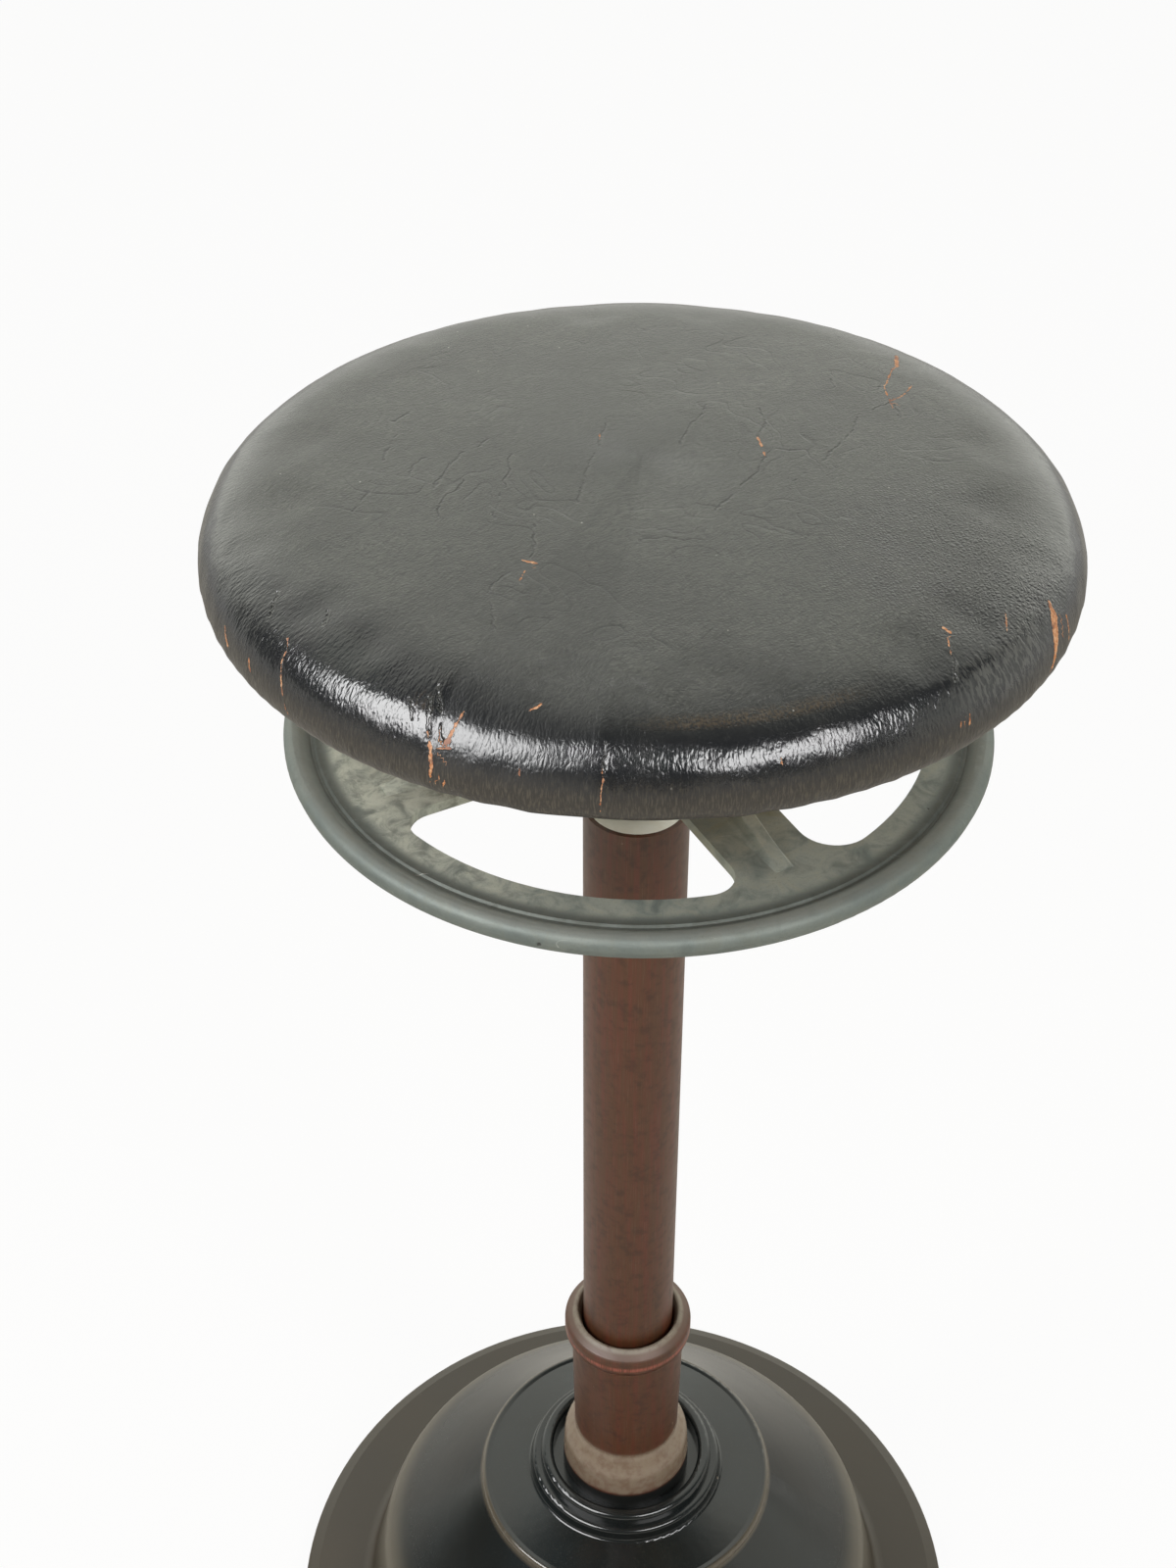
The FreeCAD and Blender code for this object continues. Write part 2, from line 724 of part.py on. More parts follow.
    def spindle(self):
        s = self.s
        foot = self.spindle_foot()
        collar = self.collar_foot() - foot
        shoulder = self.bush_top() + s.pivot_washer_play - foot
        end = shoulder + s.pivot_washer_thickness + s.pivot_nut_thickness + s.thread_end_spare
        thread = self.thread_end_radius()
        journal = self.journal_radius()
        outline = Outline()
        outline.point(0, 0)
        outline.point(s.spindle_radius - s.spindle_chamfer, 0)
        outline.point(s.spindle_radius, s.spindle_chamfer)
        outline.point(s.spindle_radius, collar)
        outline.point(self.collar_radius() - s.collar_chamfer, collar)
        outline.point(self.collar_radius(), collar + s.collar_chamfer)
        outline.point(self.collar_radius(), collar + s.collar_thickness)
        outline.point(journal, collar + s.collar_thickness)
        outline.point(journal, shoulder)
        outline.point(thread, shoulder)
        outline.point(thread, end - s.spindle_chamfer)
        outline.point(thread - s.spindle_chamfer, end)
        outline.point(0, end)
        body = self.turned("spindle", outline, foot)
        self.face_spokes(body)
        height = self.wheel_foot() + s.wheel_pin_height - foot
        hole = Circles((Size(0.0, "0"), height, s.wheel_pin_radius + s.wheel_pin_clearance))
        length = s.spindle_radius + s.overrun
        self.cut(body, "pin_hole", "YZ_Plane", hole, length * 2, length)
        depth = s.end_screw_length - s.guide_thickness + s.screw_play
        tapped = Circles((0, 0, s.end_screw_radius + s.screw_play))
        self.cut(body, "end_hole", "XY_Plane", tapped, depth, reverse=True)

    def spindle_end(self):
        """The disc that guides the spindle's foot in the tube, and the screw that holds it."""
        s = self.s
        disc_radius = s.tube_radius - s.tube_wall - s.guide_clearance
        disc_foot = self.spindle_foot() - s.guide_thickness
        ring = Circles((0, 0, disc_radius), (0, 0, s.end_screw_radius + s.screw_play))
        self.disc("guide_disc", ring, s.guide_thickness, disc_foot)
        head = s.end_screw_head_thickness
        outline = Outline()
        outline.point(0, s.end_screw_key_depth)
        outline.point(s.end_screw_key_radius, s.end_screw_key_depth)
        outline.point(s.end_screw_key_radius, 0)
        outline.point(s.end_screw_head_radius, 0)
        outline.point(s.end_screw_head_radius, head)
        outline.point(s.end_screw_radius, head)
        outline.point(s.end_screw_radius, head + s.end_screw_length)
        outline.point(0, head + s.end_screw_length)
        self.turned("spindle_end_screw", outline, disc_foot - head)

    def wheel_outline(self):
        """The handwheel's section: hub, plate, and the rim rolled over into a hook for the fingers."""
        s = self.s
        top = s.wheel_plate_foot + s.wheel_plate_thickness
        crest = top + s.wheel_crest_rise
        hook_in = s.wheel_radius - s.wheel_hook_inset - s.wheel_rim_wall
        hook_out = s.wheel_radius - s.wheel_hook_inset
        hook_foot = s.wheel_plate_foot - s.wheel_hook_drop
        bore = s.spindle_radius + s.spindle_clearance
        neck = self.hub_neck_radius()
        groove_out = s.wheel_radius - s.wheel_groove_inset
        groove_in = groove_out - s.wheel_groove_width
        crest_radius = s.wheel_radius - s.wheel_crest_inset
        outline = Outline()
        outline.point(bore, 0)
        outline.point(neck - s.wheel_hub_chamfer, 0)
        outline.point(neck, s.wheel_hub_chamfer)
        outline.point(self.hub_radius(), s.wheel_plate_foot, s.wheel_hub_rounding)
        outline.point(groove_out, s.wheel_plate_foot, s.wheel_hollow_rounding)
        outline.point(hook_in, crest - s.wheel_rim_wall, s.wheel_hollow_rounding)
        outline.point(hook_in, hook_foot, s.wheel_hook_rounding)
        outline.point(hook_out, hook_foot, s.wheel_hook_rounding)
        outline.point(s.wheel_radius, s.wheel_plate_foot + s.wheel_edge_rise)
        outline.point(s.wheel_radius, crest - s.wheel_rim_wall / 3, s.wheel_rim_rounding)
        outline.point(crest_radius, crest + s.wheel_groove_depth / 2, s.wheel_rim_rounding)
        outline.point(groove_out, top - s.wheel_groove_depth)
        outline.point(groove_in, top - s.wheel_groove_depth)
        outline.point(groove_in - s.wheel_groove_depth, top)
        outline.point(self.hub_radius(), top, s.wheel_hub_rounding)
        outline.point(neck, s.wheel_hub_length - s.wheel_hub_chamfer)
        outline.point(neck - s.wheel_hub_chamfer, s.wheel_hub_length)
        outline.point(bore, s.wheel_hub_length)
        return outline

    def window_outline(self, rounding):
        """One window, between two spokes that lie along the axes: rounded rim and hub corners."""
        s = self.s
        outer = self.window_radius()
        inner = self.hub_radius() + s.window_hub_width
        side = s.spoke_half_width
        hub_rounding = s.window_hub_rounding
        rim_reach = outer - rounding
        rim_centre = root(rim_reach * rim_reach - (side + rounding) * (side + rounding))
        hub_reach = inner + hub_rounding
        hub_centre = root(hub_reach * hub_reach - (side + hub_rounding) * (side + hub_rounding))
        rim_far = rim_centre * outer / rim_reach
        rim_near = (side + rounding) * outer / rim_reach
        hub_far = hub_centre * inner / hub_reach
        hub_near = (side + hub_rounding) * inner / hub_reach
        outline = Outline()
        outline.point(rim_centre, side)
        outline.arc(rim_far, rim_near, rounding, LEFT)
        outline.arc(rim_near, rim_far, outer, LEFT)
        outline.arc(side, rim_centre, rounding, LEFT)
        outline.point(side, hub_centre)
        outline.arc(hub_near, hub_far, hub_rounding, LEFT)
        outline.arc(hub_far, hub_near, inner, RIGHT)
        outline.arc(hub_centre, side, hub_rounding, LEFT)
        return outline

    def rib_section(self, rise):
        """A rib's section across its spoke: its flanks swept into the plate, its root sunk in it."""
        s = self.s
        top = s.wheel_plate_foot + s.wheel_plate_thickness
        share = rise / s.rib_rise
        foot = s.rib_foot_half_width
        skirt = foot + s.rib_skirt
        section = Outline()
        section.point(skirt * -1, top - s.rib_root)
        section.point(skirt, top - s.rib_root)
        section.point(skirt, top)
        section.point(foot, top, s.rib_foot_rounding * share)
        section.point(s.rib_top_half_width, top + rise, s.rib_top_rounding * share)
        section.point(s.rib_top_half_width * -1, top + rise, s.rib_top_rounding * share)
        section.point(foot * -1, top, s.rib_foot_rounding * share)
        section.point(skirt * -1, top)
        return section

    def handwheel(self):
        """The turned casting, its windows cut between the spokes, and a rib on each spoke."""
        s = self.s
        wheel = self.turned("handwheel", self.wheel_outline(), self.wheel_foot())
        self.face_spokes(wheel)
        depth = s.wheel_plate_foot + s.wheel_plate_thickness + s.overrun
        for name, rounding, turned in (
            ("front_window", s.window_small_rounding, 0.0),
            ("side_window", s.window_large_rounding, QUARTER_TURN),
        ):
            plan = self.window_outline(rounding)
            pocket = self.cut(wheel, name, "XY_Plane", plan, depth, turned=turned, reverse=True)
            self.repeat(wheel, pocket, f"{name}s", s.spoke_count / 2)
        rib = wheel.newObject("PartDesign::AdditiveLoft", "rib")
        low = self.rib_section(s.rib_nose_rise)
        nose = self.window_radius() - s.rib_nose_inset
        rib.Profile = add_sketch(wheel, "rib_nose", "YZ_Plane", low, nose)
        places = (("rib_rise", nose - s.rib_ramp_length), ("rib_end", self.hub_neck_radius()))
        rib.Sections = [
            add_sketch(wheel, name, "YZ_Plane", self.rib_section(s.rib_rise), place)
            for name, place in places
        ]
        rib.Ruled = True
        self.repeat(wheel, rib, "ribs", s.spoke_count)
        hole = Circles((Size(0.0, "0"), s.wheel_pin_height, s.wheel_pin_radius + s.wheel_pin_clearance))
        length = self.hub_radius() + s.overrun
        self.cut(wheel, "hub_pin_hole", "YZ_Plane", hole, length * 2, length)

    def handwheel_pin(self):
        s = self.s
        pin = self.body("handwheel_pin", self.wheel_foot())
        self.face_spokes(pin)
        half = self.hub_neck_radius() + s.wheel_pin_proud
        pad = pin.newObject("PartDesign::Pad", "wheel_pin_pad")
        circle = Circles((Size(0.0, "0"), s.wheel_pin_height, s.wheel_pin_radius))
        pad.Profile = add_sketch(pin, "wheel_pin_end", "YZ_Plane", circle, half * -1)
        pad.setExpression("Length", (half * 2).text)

    def ball_pitch(self):
        """Radius of the circle that the balls' centres lie on."""
        return self.journal_radius() + self.s.ball_pitch_offset

    def race_outline(self, upper):
        """A grooved bearing race. The groove is struck from the balls' centre line."""
        s = self.s
        bore = self.journal_radius() + s.race_bore_clearance
        outer = self.collar_radius()
        groove = s.ball_radius + s.ball_play
        rise = groove - s.groove_depth
        half = root(groove * groove - rise * rise)
        height = s.race_thickness
        near = self.ball_pitch() - half
        far = self.ball_pitch() + half
        outline = Outline()
        if upper:
            outline.point(bore, 0).point(near, 0).arc(far, 0, groove, RIGHT)
            outline.point(outer, 0).point(outer, height).point(bore, height)
        else:
            outline.point(bore, 0).point(outer, 0).point(outer, height)
            outline.point(far, height).arc(near, height, groove, RIGHT).point(bore, height)
        return outline

    def thrust_bearing(self):
        s = self.s
        self.turned("lower_race", self.race_outline(False), self.race_foot())
        self.turned("upper_race", self.race_outline(True), self.flange_foot() - s.race_thickness)
        bore = self.journal_radius() + s.race_bore_clearance
        ring = Circles((0, 0, self.collar_radius() - s.cage_inset), (0, 0, bore))
        cage_foot = self.ball_height() - s.cage_thickness / 2
        cage = self.disc("ball_cage", ring, s.cage_thickness, cage_foot)
        hole = Circles((self.ball_pitch(), 0, s.ball_radius + s.cage_play))
        pocket = self.cut(cage, "ball_pocket", "XY_Plane", hole, s.cage_thickness, reverse=True)
        self.repeat(cage, pocket, "ball_pockets", s.ball_count)
        balls = []
        for k in range(int(s.ball_count.value)):
            ball = self.document.addObject("Part::Sphere", f"ball_{k + 1}")
            ball.setExpression("Radius", s.ball_radius.text)
            angle = f"{FULL_TURN * k} / {s.ball_count.text}"
            ball.setExpression("Placement.Base.x", f"{self.ball_pitch().text} * cos({angle})")
            ball.setExpression("Placement.Base.y", f"{self.ball_pitch().text} * sin({angle})")
            balls.append(ball)
        group = self.document.addObject("Part::Compound", "thrust_balls")
        group.Links = balls
        self.keep(group, "thrust_balls", self.ball_height())

    def nut_radius(self):
        return self.thread_end_radius() + self.s.pivot_nut_width

    def washer_radius(self):
        return self.thread_end_radius() + self.s.pivot_washer_width

    def screw_circle(self):
        return self.s.flange_plate_radius - self.s.flange_screw_inset

    def seat_flange(self):
        s = self.s
        bore = self.journal_radius() + s.bush_wall
        boss_radius = bore + s.flange_boss_wall
        pocket = self.washer_radius() + s.nut_pocket_clearance
        boss = s.flange_boss_length
        top = boss + s.flange_plate_thickness
        pocket_floor = top - s.nut_pocket_depth
        outline = Outline()
        outline.point(bore, 0)
        outline.point(boss_radius, 0, s.flange_edge_rounding)
        outline.point(boss_radius, boss, s.flange_boss_rounding)
        outline.point(s.flange_plate_radius, boss, s.flange_edge_rounding)
        outline.point(s.flange_plate_radius, top)
        outline.point(pocket, top)
        outline.point(pocket, pocket_floor)
        outline.point(bore, pocket_floor)
        flange = self.turned("seat_flange", outline, self.flange_foot())
        head = s.flange_screw_head_radius
        shank = s.flange_screw_radius + s.screw_play
        circle = self.screw_circle()
        sink = Outline()
        sink.point(circle, boss)
        sink.point(circle + head + s.screw_play, boss)
        sink.point(circle + shank, boss + head - s.flange_screw_radius)
        sink.point(circle + shank, top + s.overrun)
        sink.point(circle, top + s.overrun)
        groove = flange.newObject("PartDesign::Groove", "screw_hole")
        profile = add_sketch(flange, "screw_hole_profile", "XZ_Plane", sink)
        groove.Profile = profile
        groove.ReferenceAxis = (profile, ["Edge1"])
        groove.Angle = FULL_TURN
        self.repeat(flange, groove, "screw_holes", s.flange_screw_count)

    def around(self, label, count, circle, outline, foot):
        """A group of equal turned pieces, set round a circle."""
        pieces = []
        for k in range(int(count.value)):
            angle = f"({FULL_TURN * k} / {count.text})"
            body = self.document.addObject("PartDesign::Body", f"{label}_{k + 1}")
            profile = add_sketch(body, f"{label}_{k + 1}_profile", "XZ_Plane", outline())
            turn = body.newObject("PartDesign::Revolution", f"{label}_{k + 1}_turn")
            turn.Profile = profile
            turn.ReferenceAxis = (profile, ["V_Axis"])
            turn.Angle = FULL_TURN
            body.setExpression("Placement.Base.x", f"{circle.text} * cos({angle})")
            body.setExpression("Placement.Base.y", f"{circle.text} * sin({angle})")
            pieces.append(body)
        group = self.document.addObject("Part::Compound", label)
        group.Links = pieces
        self.keep(group, label, foot)

    def seat_fasteners(self):
        s = self.s
        bore = self.journal_radius() + s.bush_play
        bush = self.journal_radius() + s.bush_wall - s.bush_fit
        bush_foot = self.flange_foot() + s.bush_recess
        ring = Circles((0, 0, bush), (0, 0, bore))
        self.disc("pivot_bush", ring, self.bush_top() - bush_foot, bush_foot)
        washer_foot = self.bush_top() + s.pivot_washer_play
        thread = self.thread_end_radius() + s.screw_play
        ring = Circles((0, 0, self.washer_radius()), (0, 0, thread))
        self.disc("pivot_washer", ring, s.pivot_washer_thickness, washer_foot)
        blank = self.document.addObject("Part::Prism", "pivot_nut_blank")
        blank.Polygon = 6
        blank.setExpression("Circumradius", self.nut_radius().text)
        blank.setExpression("Height", s.pivot_nut_thickness.text)
        drill = self.document.addObject("Part::Cylinder", "pivot_nut_bore")
        drill.setExpression("Radius", thread.text)
        drill.setExpression("Height", s.pivot_nut_thickness.text)
        nut = self.document.addObject("Part::Cut", "pivot_nut")
        nut.Base = blank
        nut.Tool = drill
        self.keep(nut, "pivot_nut", washer_foot + s.pivot_washer_thickness)
        self.around(
            "flange_screws",
            s.flange_screw_count,
            self.screw_circle(),
            self.flange_screw_outline,
            self.flange_foot() + s.flange_boss_length,
        )

    def flange_screw_outline(self):
        """A countersunk wood screw, head down, with its point in the board."""
        s = self.s
        head = s.flange_screw_head_radius
        length = s.flange_plate_thickness + s.flange_screw_reach
        outline = Outline()
        outline.point(0, 0).point(head, 0)
        outline.point(s.flange_screw_radius, head - s.flange_screw_radius)
        outline.point(s.flange_screw_radius, length - s.flange_screw_radius)
        outline.point(0, length)
        return outline

    def seat_side(self, inward):
        """Points of the seat's rolled shoulder, at a distance inward from its outer face."""
        s = self.s
        level = self.side_height()
        total = level + s.shoulder_height + s.seat_crown
        width = s.shoulder_width - inward
        height = s.shoulder_height - inward
        centre = s.seat_radius - s.shoulder_width
        knee = (centre + KNEE_SHARE * width, level + KNEE_SHARE * height)
        return centre, level, width, height, knee, total

    def crown_run(self, outline, inward, outward):
        """Draws the crown and shoulder of the seat, from the middle out or from the side in."""
        s = self.s
        centre, level, width, height, knee, total = self.seat_side(inward)
        crown = (centre * centre + s.seat_crown * s.seat_crown) / (s.seat_crown * 2)
        top = (Size(0.0, "0"), total - inward)
        brow = (centre, total - s.seat_crown - inward)
        side = (centre + width, level)
        flat = self.arc_radius(brow, knee, s.seat_crown * 2 / centre)
        steep = self.arc_radius(knee, side, None)
        if outward:
            outline.point(*top).arc(*brow, crown, RIGHT).arc(*knee, flat, RIGHT).arc(*side, steep, RIGHT)
        else:
            outline.point(*side).arc(*knee, steep, LEFT).arc(*brow, flat, LEFT).arc(*top, crown, LEFT)

    def arc_radius(self, upper, lower, slope):
        """Radius of the arc between two points that starts along a slope, or ends upright."""
        across = lower[0] - upper[0]
        down = upper[1] - lower[1]
        chord = across * across + down * down
        if slope is None:
            return chord / (across * 2)
        return chord * root(slope * slope + 1) / ((down - slope * across) * 2)

    def leather_cover(self):
        """The cover: crown, rolled shoulder and side, drawn under the board to a hem."""
        s = self.s
        skin = s.cover_thickness
        hem_in = s.seat_radius - s.hem_width
        outline = Outline()
        self.crown_run(outline, Size(0.0, "0"), True)
        outline.point(s.seat_radius, 0, s.hem_rounding)
        outline.point(hem_in, 0)
        outline.point(hem_in, skin)
        outline.point(s.seat_radius - skin, skin, s.hem_rounding - skin)
        self.crown_run(outline, skin, False)
        self.turned("leather_cover", outline, self.seat_foot())

    def seat_board(self):
        s = self.s
        outline = Outline()
        radius = s.seat_radius - s.board_inset
        outline.point(0, 0)
        outline.point(radius, 0, s.board_rounding)
        outline.point(radius, s.board_thickness)
        outline.point(0, s.board_thickness)
        board = self.turned("seat_board", outline, self.board_foot())
        pilot = Circles((self.screw_circle(), 0, s.flange_screw_radius + s.screw_play))
        depth = s.flange_screw_reach + s.screw_play
        pocket = self.cut(board, "pilot_hole", "XY_Plane", pilot, depth, reverse=True)
        self.repeat(board, pocket, "pilot_holes", s.flange_screw_count)
        bradawl = Circles((self.tack_circle(), 0, s.tack_shank_radius + s.screw_play))
        depth = s.tack_shank_length - s.cover_thickness + s.screw_play
        pocket = self.cut(board, "tack_hole", "XY_Plane", bradawl, depth, reverse=True)
        self.repeat(board, pocket, "tack_holes", s.tack_count)

    def seat_pad(self):
        """Stuffing on the board, drawn down over its edge, a little clear of the leather."""
        s = self.s
        gap = s.cover_thickness + s.soft_gap
        board = s.board_thickness + s.cover_thickness
        radius = s.seat_radius - s.board_inset
        skirt = self.side_height() - s.pad_lap
        outline = Outline()
        self.crown_run(outline, gap, True)
        outline.point(s.seat_radius - gap, skirt)
        outline.point(radius + s.soft_gap, skirt)
        outline.point(radius + s.soft_gap, board)
        outline.point(0, board)
        self.turned("seat_pad", outline, self.seat_foot())

    def tack_circle(self):
        return self.s.seat_radius - self.s.board_inset - self.s.tack_inset

    def tack_outline(self):
        """A domed tack, head down. Its own origin is on the leather."""
        s = self.s
        dome = (s.tack_head_radius * s.tack_head_radius + s.tack_head_rise * s.tack_head_rise)
        outline = Outline()
        outline.point(0, s.tack_head_rise * -1)
        outline.arc(s.tack_head_radius, 0, dome / (s.tack_head_rise * 2), LEFT)
        outline.point(s.tack_shank_radius, 0)
        outline.point(s.tack_shank_radius, s.tack_shank_length - s.tack_shank_radius * 2)
        outline.point(0, s.tack_shank_length)
        return outline

    def cover_tacks(self):
        count = self.s.tack_count
        self.around("cover_tacks", count, self.tack_circle(), self.tack_outline, self.seat_foot())

    def drill_hem(self):
        """The tacks' holes through the leather's hem."""
        s = self.s
        cover = next(piece for piece in self.made if piece.Label == "leather_cover")
        hole = Circles((self.tack_circle(), 0, s.tack_shank_radius + s.screw_play))
        pocket = self.cut(cover, "hem_hole", "XY_Plane", hole, s.cover_thickness, reverse=True)
        self.repeat(cover, pocket, "hem_holes", s.tack_count)


def check(document, pieces):
    """Stops if any object failed, or any sub-part is empty or unsound."""
    faults = [
        f"{o.Label}: {o.State}" for o in document.Objects if set(o.State) & {"Invalid", "Error"}
    ]
    for piece in pieces:
        shape = piece.Shape
        if shape.isNull() or not shape.isValid() or not shape.Solids:
            faults.append(f"{piece.Label}: no sound solid")
    if faults:
        raise RuntimeError("; ".join(faults))


def main():
    document = FreeCAD.newDocument("dental_stool")
    pieces = Pieces(document, Sheet(document, SIZES))
    pieces.base_casting()
    pieces.column_socket()
    pieces.socket_fasteners()
    pieces.column_tube()
    pieces.spindle_nut()
    pieces.spindle()
    pieces.spindle_end()
    pieces.handwheel()
    pieces.handwheel_pin()
    pieces.thrust_bearing()
    pieces.seat_flange()
    pieces.seat_fasteners()
    pieces.seat_board()
    pieces.seat_pad()
    pieces.leather_cover()
    pieces.drill_hem()
    pieces.cover_tacks()
    document.recompute()
    check(document, pieces.made)
    os.makedirs("parts", exist_ok=True)
    for piece in pieces.made:
        piece.Shape.exportStep(f"parts/{piece.Label}.step")
        box = piece.Shape.BoundBox
        print(f"{piece.Label}: {len(piece.Shape.Solids)} solid, z {box.ZMin:.1f} to {box.ZMax:.1f}")


main()
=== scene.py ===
"""Dental stool: its leather, threaded spindle, screws and finishes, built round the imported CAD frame."""

import math

import bpy
import numpy as np
from bpy.props import FloatProperty, FloatVectorProperty, IntProperty, PointerProperty
from mathutils import Matrix, Vector, noise


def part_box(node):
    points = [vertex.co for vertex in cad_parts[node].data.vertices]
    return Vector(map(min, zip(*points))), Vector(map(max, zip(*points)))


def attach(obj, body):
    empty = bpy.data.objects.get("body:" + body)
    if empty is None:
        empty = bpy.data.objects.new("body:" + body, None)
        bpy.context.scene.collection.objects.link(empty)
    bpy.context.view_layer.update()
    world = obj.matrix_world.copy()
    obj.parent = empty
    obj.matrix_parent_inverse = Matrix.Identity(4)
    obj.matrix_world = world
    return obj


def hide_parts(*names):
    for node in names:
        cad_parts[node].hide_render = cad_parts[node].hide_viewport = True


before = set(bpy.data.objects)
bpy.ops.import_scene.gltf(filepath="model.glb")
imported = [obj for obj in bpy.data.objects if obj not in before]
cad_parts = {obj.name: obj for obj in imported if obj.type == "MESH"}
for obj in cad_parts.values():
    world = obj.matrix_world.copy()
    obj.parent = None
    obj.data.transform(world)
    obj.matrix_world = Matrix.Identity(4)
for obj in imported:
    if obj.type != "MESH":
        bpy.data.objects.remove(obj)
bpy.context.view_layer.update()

bl_info = {
    "name": "Dental stool",
    "version": (1, 0, 0),
    "blender": (4, 5, 0),
    "location": "View3D > Sidebar > Stool",
    "description": "Models and finishes a dental stool round its packed frame",
    "category": "Add Mesh",
}

MM = 0.001
COVER_LOW, COVER_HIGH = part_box("leather_cover")
BOARD_LOW, BOARD_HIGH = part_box("seat_board")
SPINDLE_LOW, SPINDLE_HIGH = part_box("spindle")
WHEEL_LOW, WHEEL_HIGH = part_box("handwheel")
PLATE_LOW, PLATE_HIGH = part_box("seat_flange")
# Share of its width and height at which the shoulder of the CAD's cover has its knee.
CAD_FULLNESS = math.sqrt(0.5)

# The photograph's camera: its place, the directions of its picture, its lens and sensor in millimetres,
# and its sideways shift as a share of the picture's height. The picture is measured in pixels.
PHOTO_WIDTH, PHOTO_HEIGHT = 1200, 1600
EYE = Vector((0.0, -0.7295, 1.1505))
RIGHT = Vector((0.99964, 0.02665, 0.00093))
DOWN = Vector((0.01720, -0.61783, -0.78613))
AHEAD = Vector((-0.02037, 0.78586, -0.61806))
LENS = 52.016
SENSOR = 36.0
SHIFT = -0.0018


# Sizes and colours that a user would change.


def length(name, description, default):
    return FloatProperty(
        name=name, description=description, default=default, subtype="DISTANCE", unit="LENGTH"
    )


def turn(name, description, degrees):
    return FloatProperty(
        name=name, description=description, default=math.radians(degrees), subtype="ANGLE"
    )


def share(name, description, default):
    return FloatProperty(
        name=name, description=description, default=default, min=0.0, max=1.0, subtype="FACTOR"
    )


def amount(name, description, default, unit="NONE"):
    return FloatProperty(name=name, description=description, default=default, min=0.0, unit=unit)


def colour(name, description, *rgb):
    return FloatVectorProperty(
        name=name, description=description, default=rgb, min=0.0, max=1.0, subtype="COLOR"
    )


class CoverSizes(bpy.types.PropertyGroup):
    radius: length("Seat radius", "Outer radius of the leather cover", COVER_HIGH.x + 1.8 * MM)
    crown: length("Crown", "Rise of the seat's top over its brow", 6.0 * MM)
    shoulder_width: length("Shoulder width", "Width of the rolled shoulder", 39.0 * MM)
    shoulder_height: length("Shoulder height", "Height of the rolled shoulder", 28.7 * MM)
    fullness: share("Fullness", "Share of the shoulder's width and height at which its knee lies", 0.745)
    hem_rounding: length("Hem rounding", "Radius at which the cover turns under the board", 6.8 * MM)
    hem_width: length("Hem width", "Width of the leather drawn under the board", 18.0 * MM)
    leather: length("Leather", "Thickness of the leather at the hem", 1.5 * MM)
    slack: length("Slack", "Amount by which the cover starts smaller than it ends", 0.6 * MM)
    swell: length("Swell", "Largest move of the stuffing outwards", 1.0 * MM)
    cell: length("Cell", "Size of the cells that the cover is remeshed with", 5.0 * MM)
    board_play: length("Board play", "Clearance between board and cover", 0.25 * MM)


class ThreadSizes(bpy.types.PropertyGroup):
    pitch: length("Pitch", "Rise of the spindle's thread in a turn", 6.0 * MM)
    depth: length("Depth", "Depth of the spindle's thread", 1.5 * MM)
    chamfer: length("Chamfer", "Bevel at the spindle's shoulders", 0.6 * MM)
    shank_radius: length("Shank radius", "Radius of the shank and of the thread's crest", 9.0 * MM)
    collar_radius: length("Collar radius", "Radius of the collar that carries the bearing", 16.0 * MM)
    collar_height: length("Collar height", "Height of the collar", 6.0 * MM)
    journal_radius: length("Journal radius", "Radius of the journal that the seat turns on", 8.0 * MM)
    journal_drop: length("Journal drop", "Way from the flange's top down to the journal's end", 14.0 * MM)
    end_radius: length("End radius", "Radius of the end that holds the pivot nut", 6.0 * MM)
    hub_gap: length("Hub gap", "Way from the handwheel's foot down to the end of the root", 1.5 * MM)
    runout: length("Runout", "Length of plain shank between thread and hub", 3.0 * MM)


class ScrewSizes(bpy.types.PropertyGroup):
    circle: length("Screw circle", "Radius on which the flange screws stand", 65.0 * MM)
    head_radius: length("Head radius", "Radius of a countersunk head", 4.8 * MM)
    shank_radius: length("Shank radius", "Radius of the wood screw's shank", 2.5 * MM)
    slot_width: length("Slot width", "Width of the screwdriver slot", 1.2 * MM)
    slot_depth: length("Slot depth", "Depth of the screwdriver slot", 1.3 * MM)
    first: turn("First screw", "Direction of the first flange screw", 0.0)
    count: IntProperty(name="Screws", description="Number of flange screws", default=4, min=1)


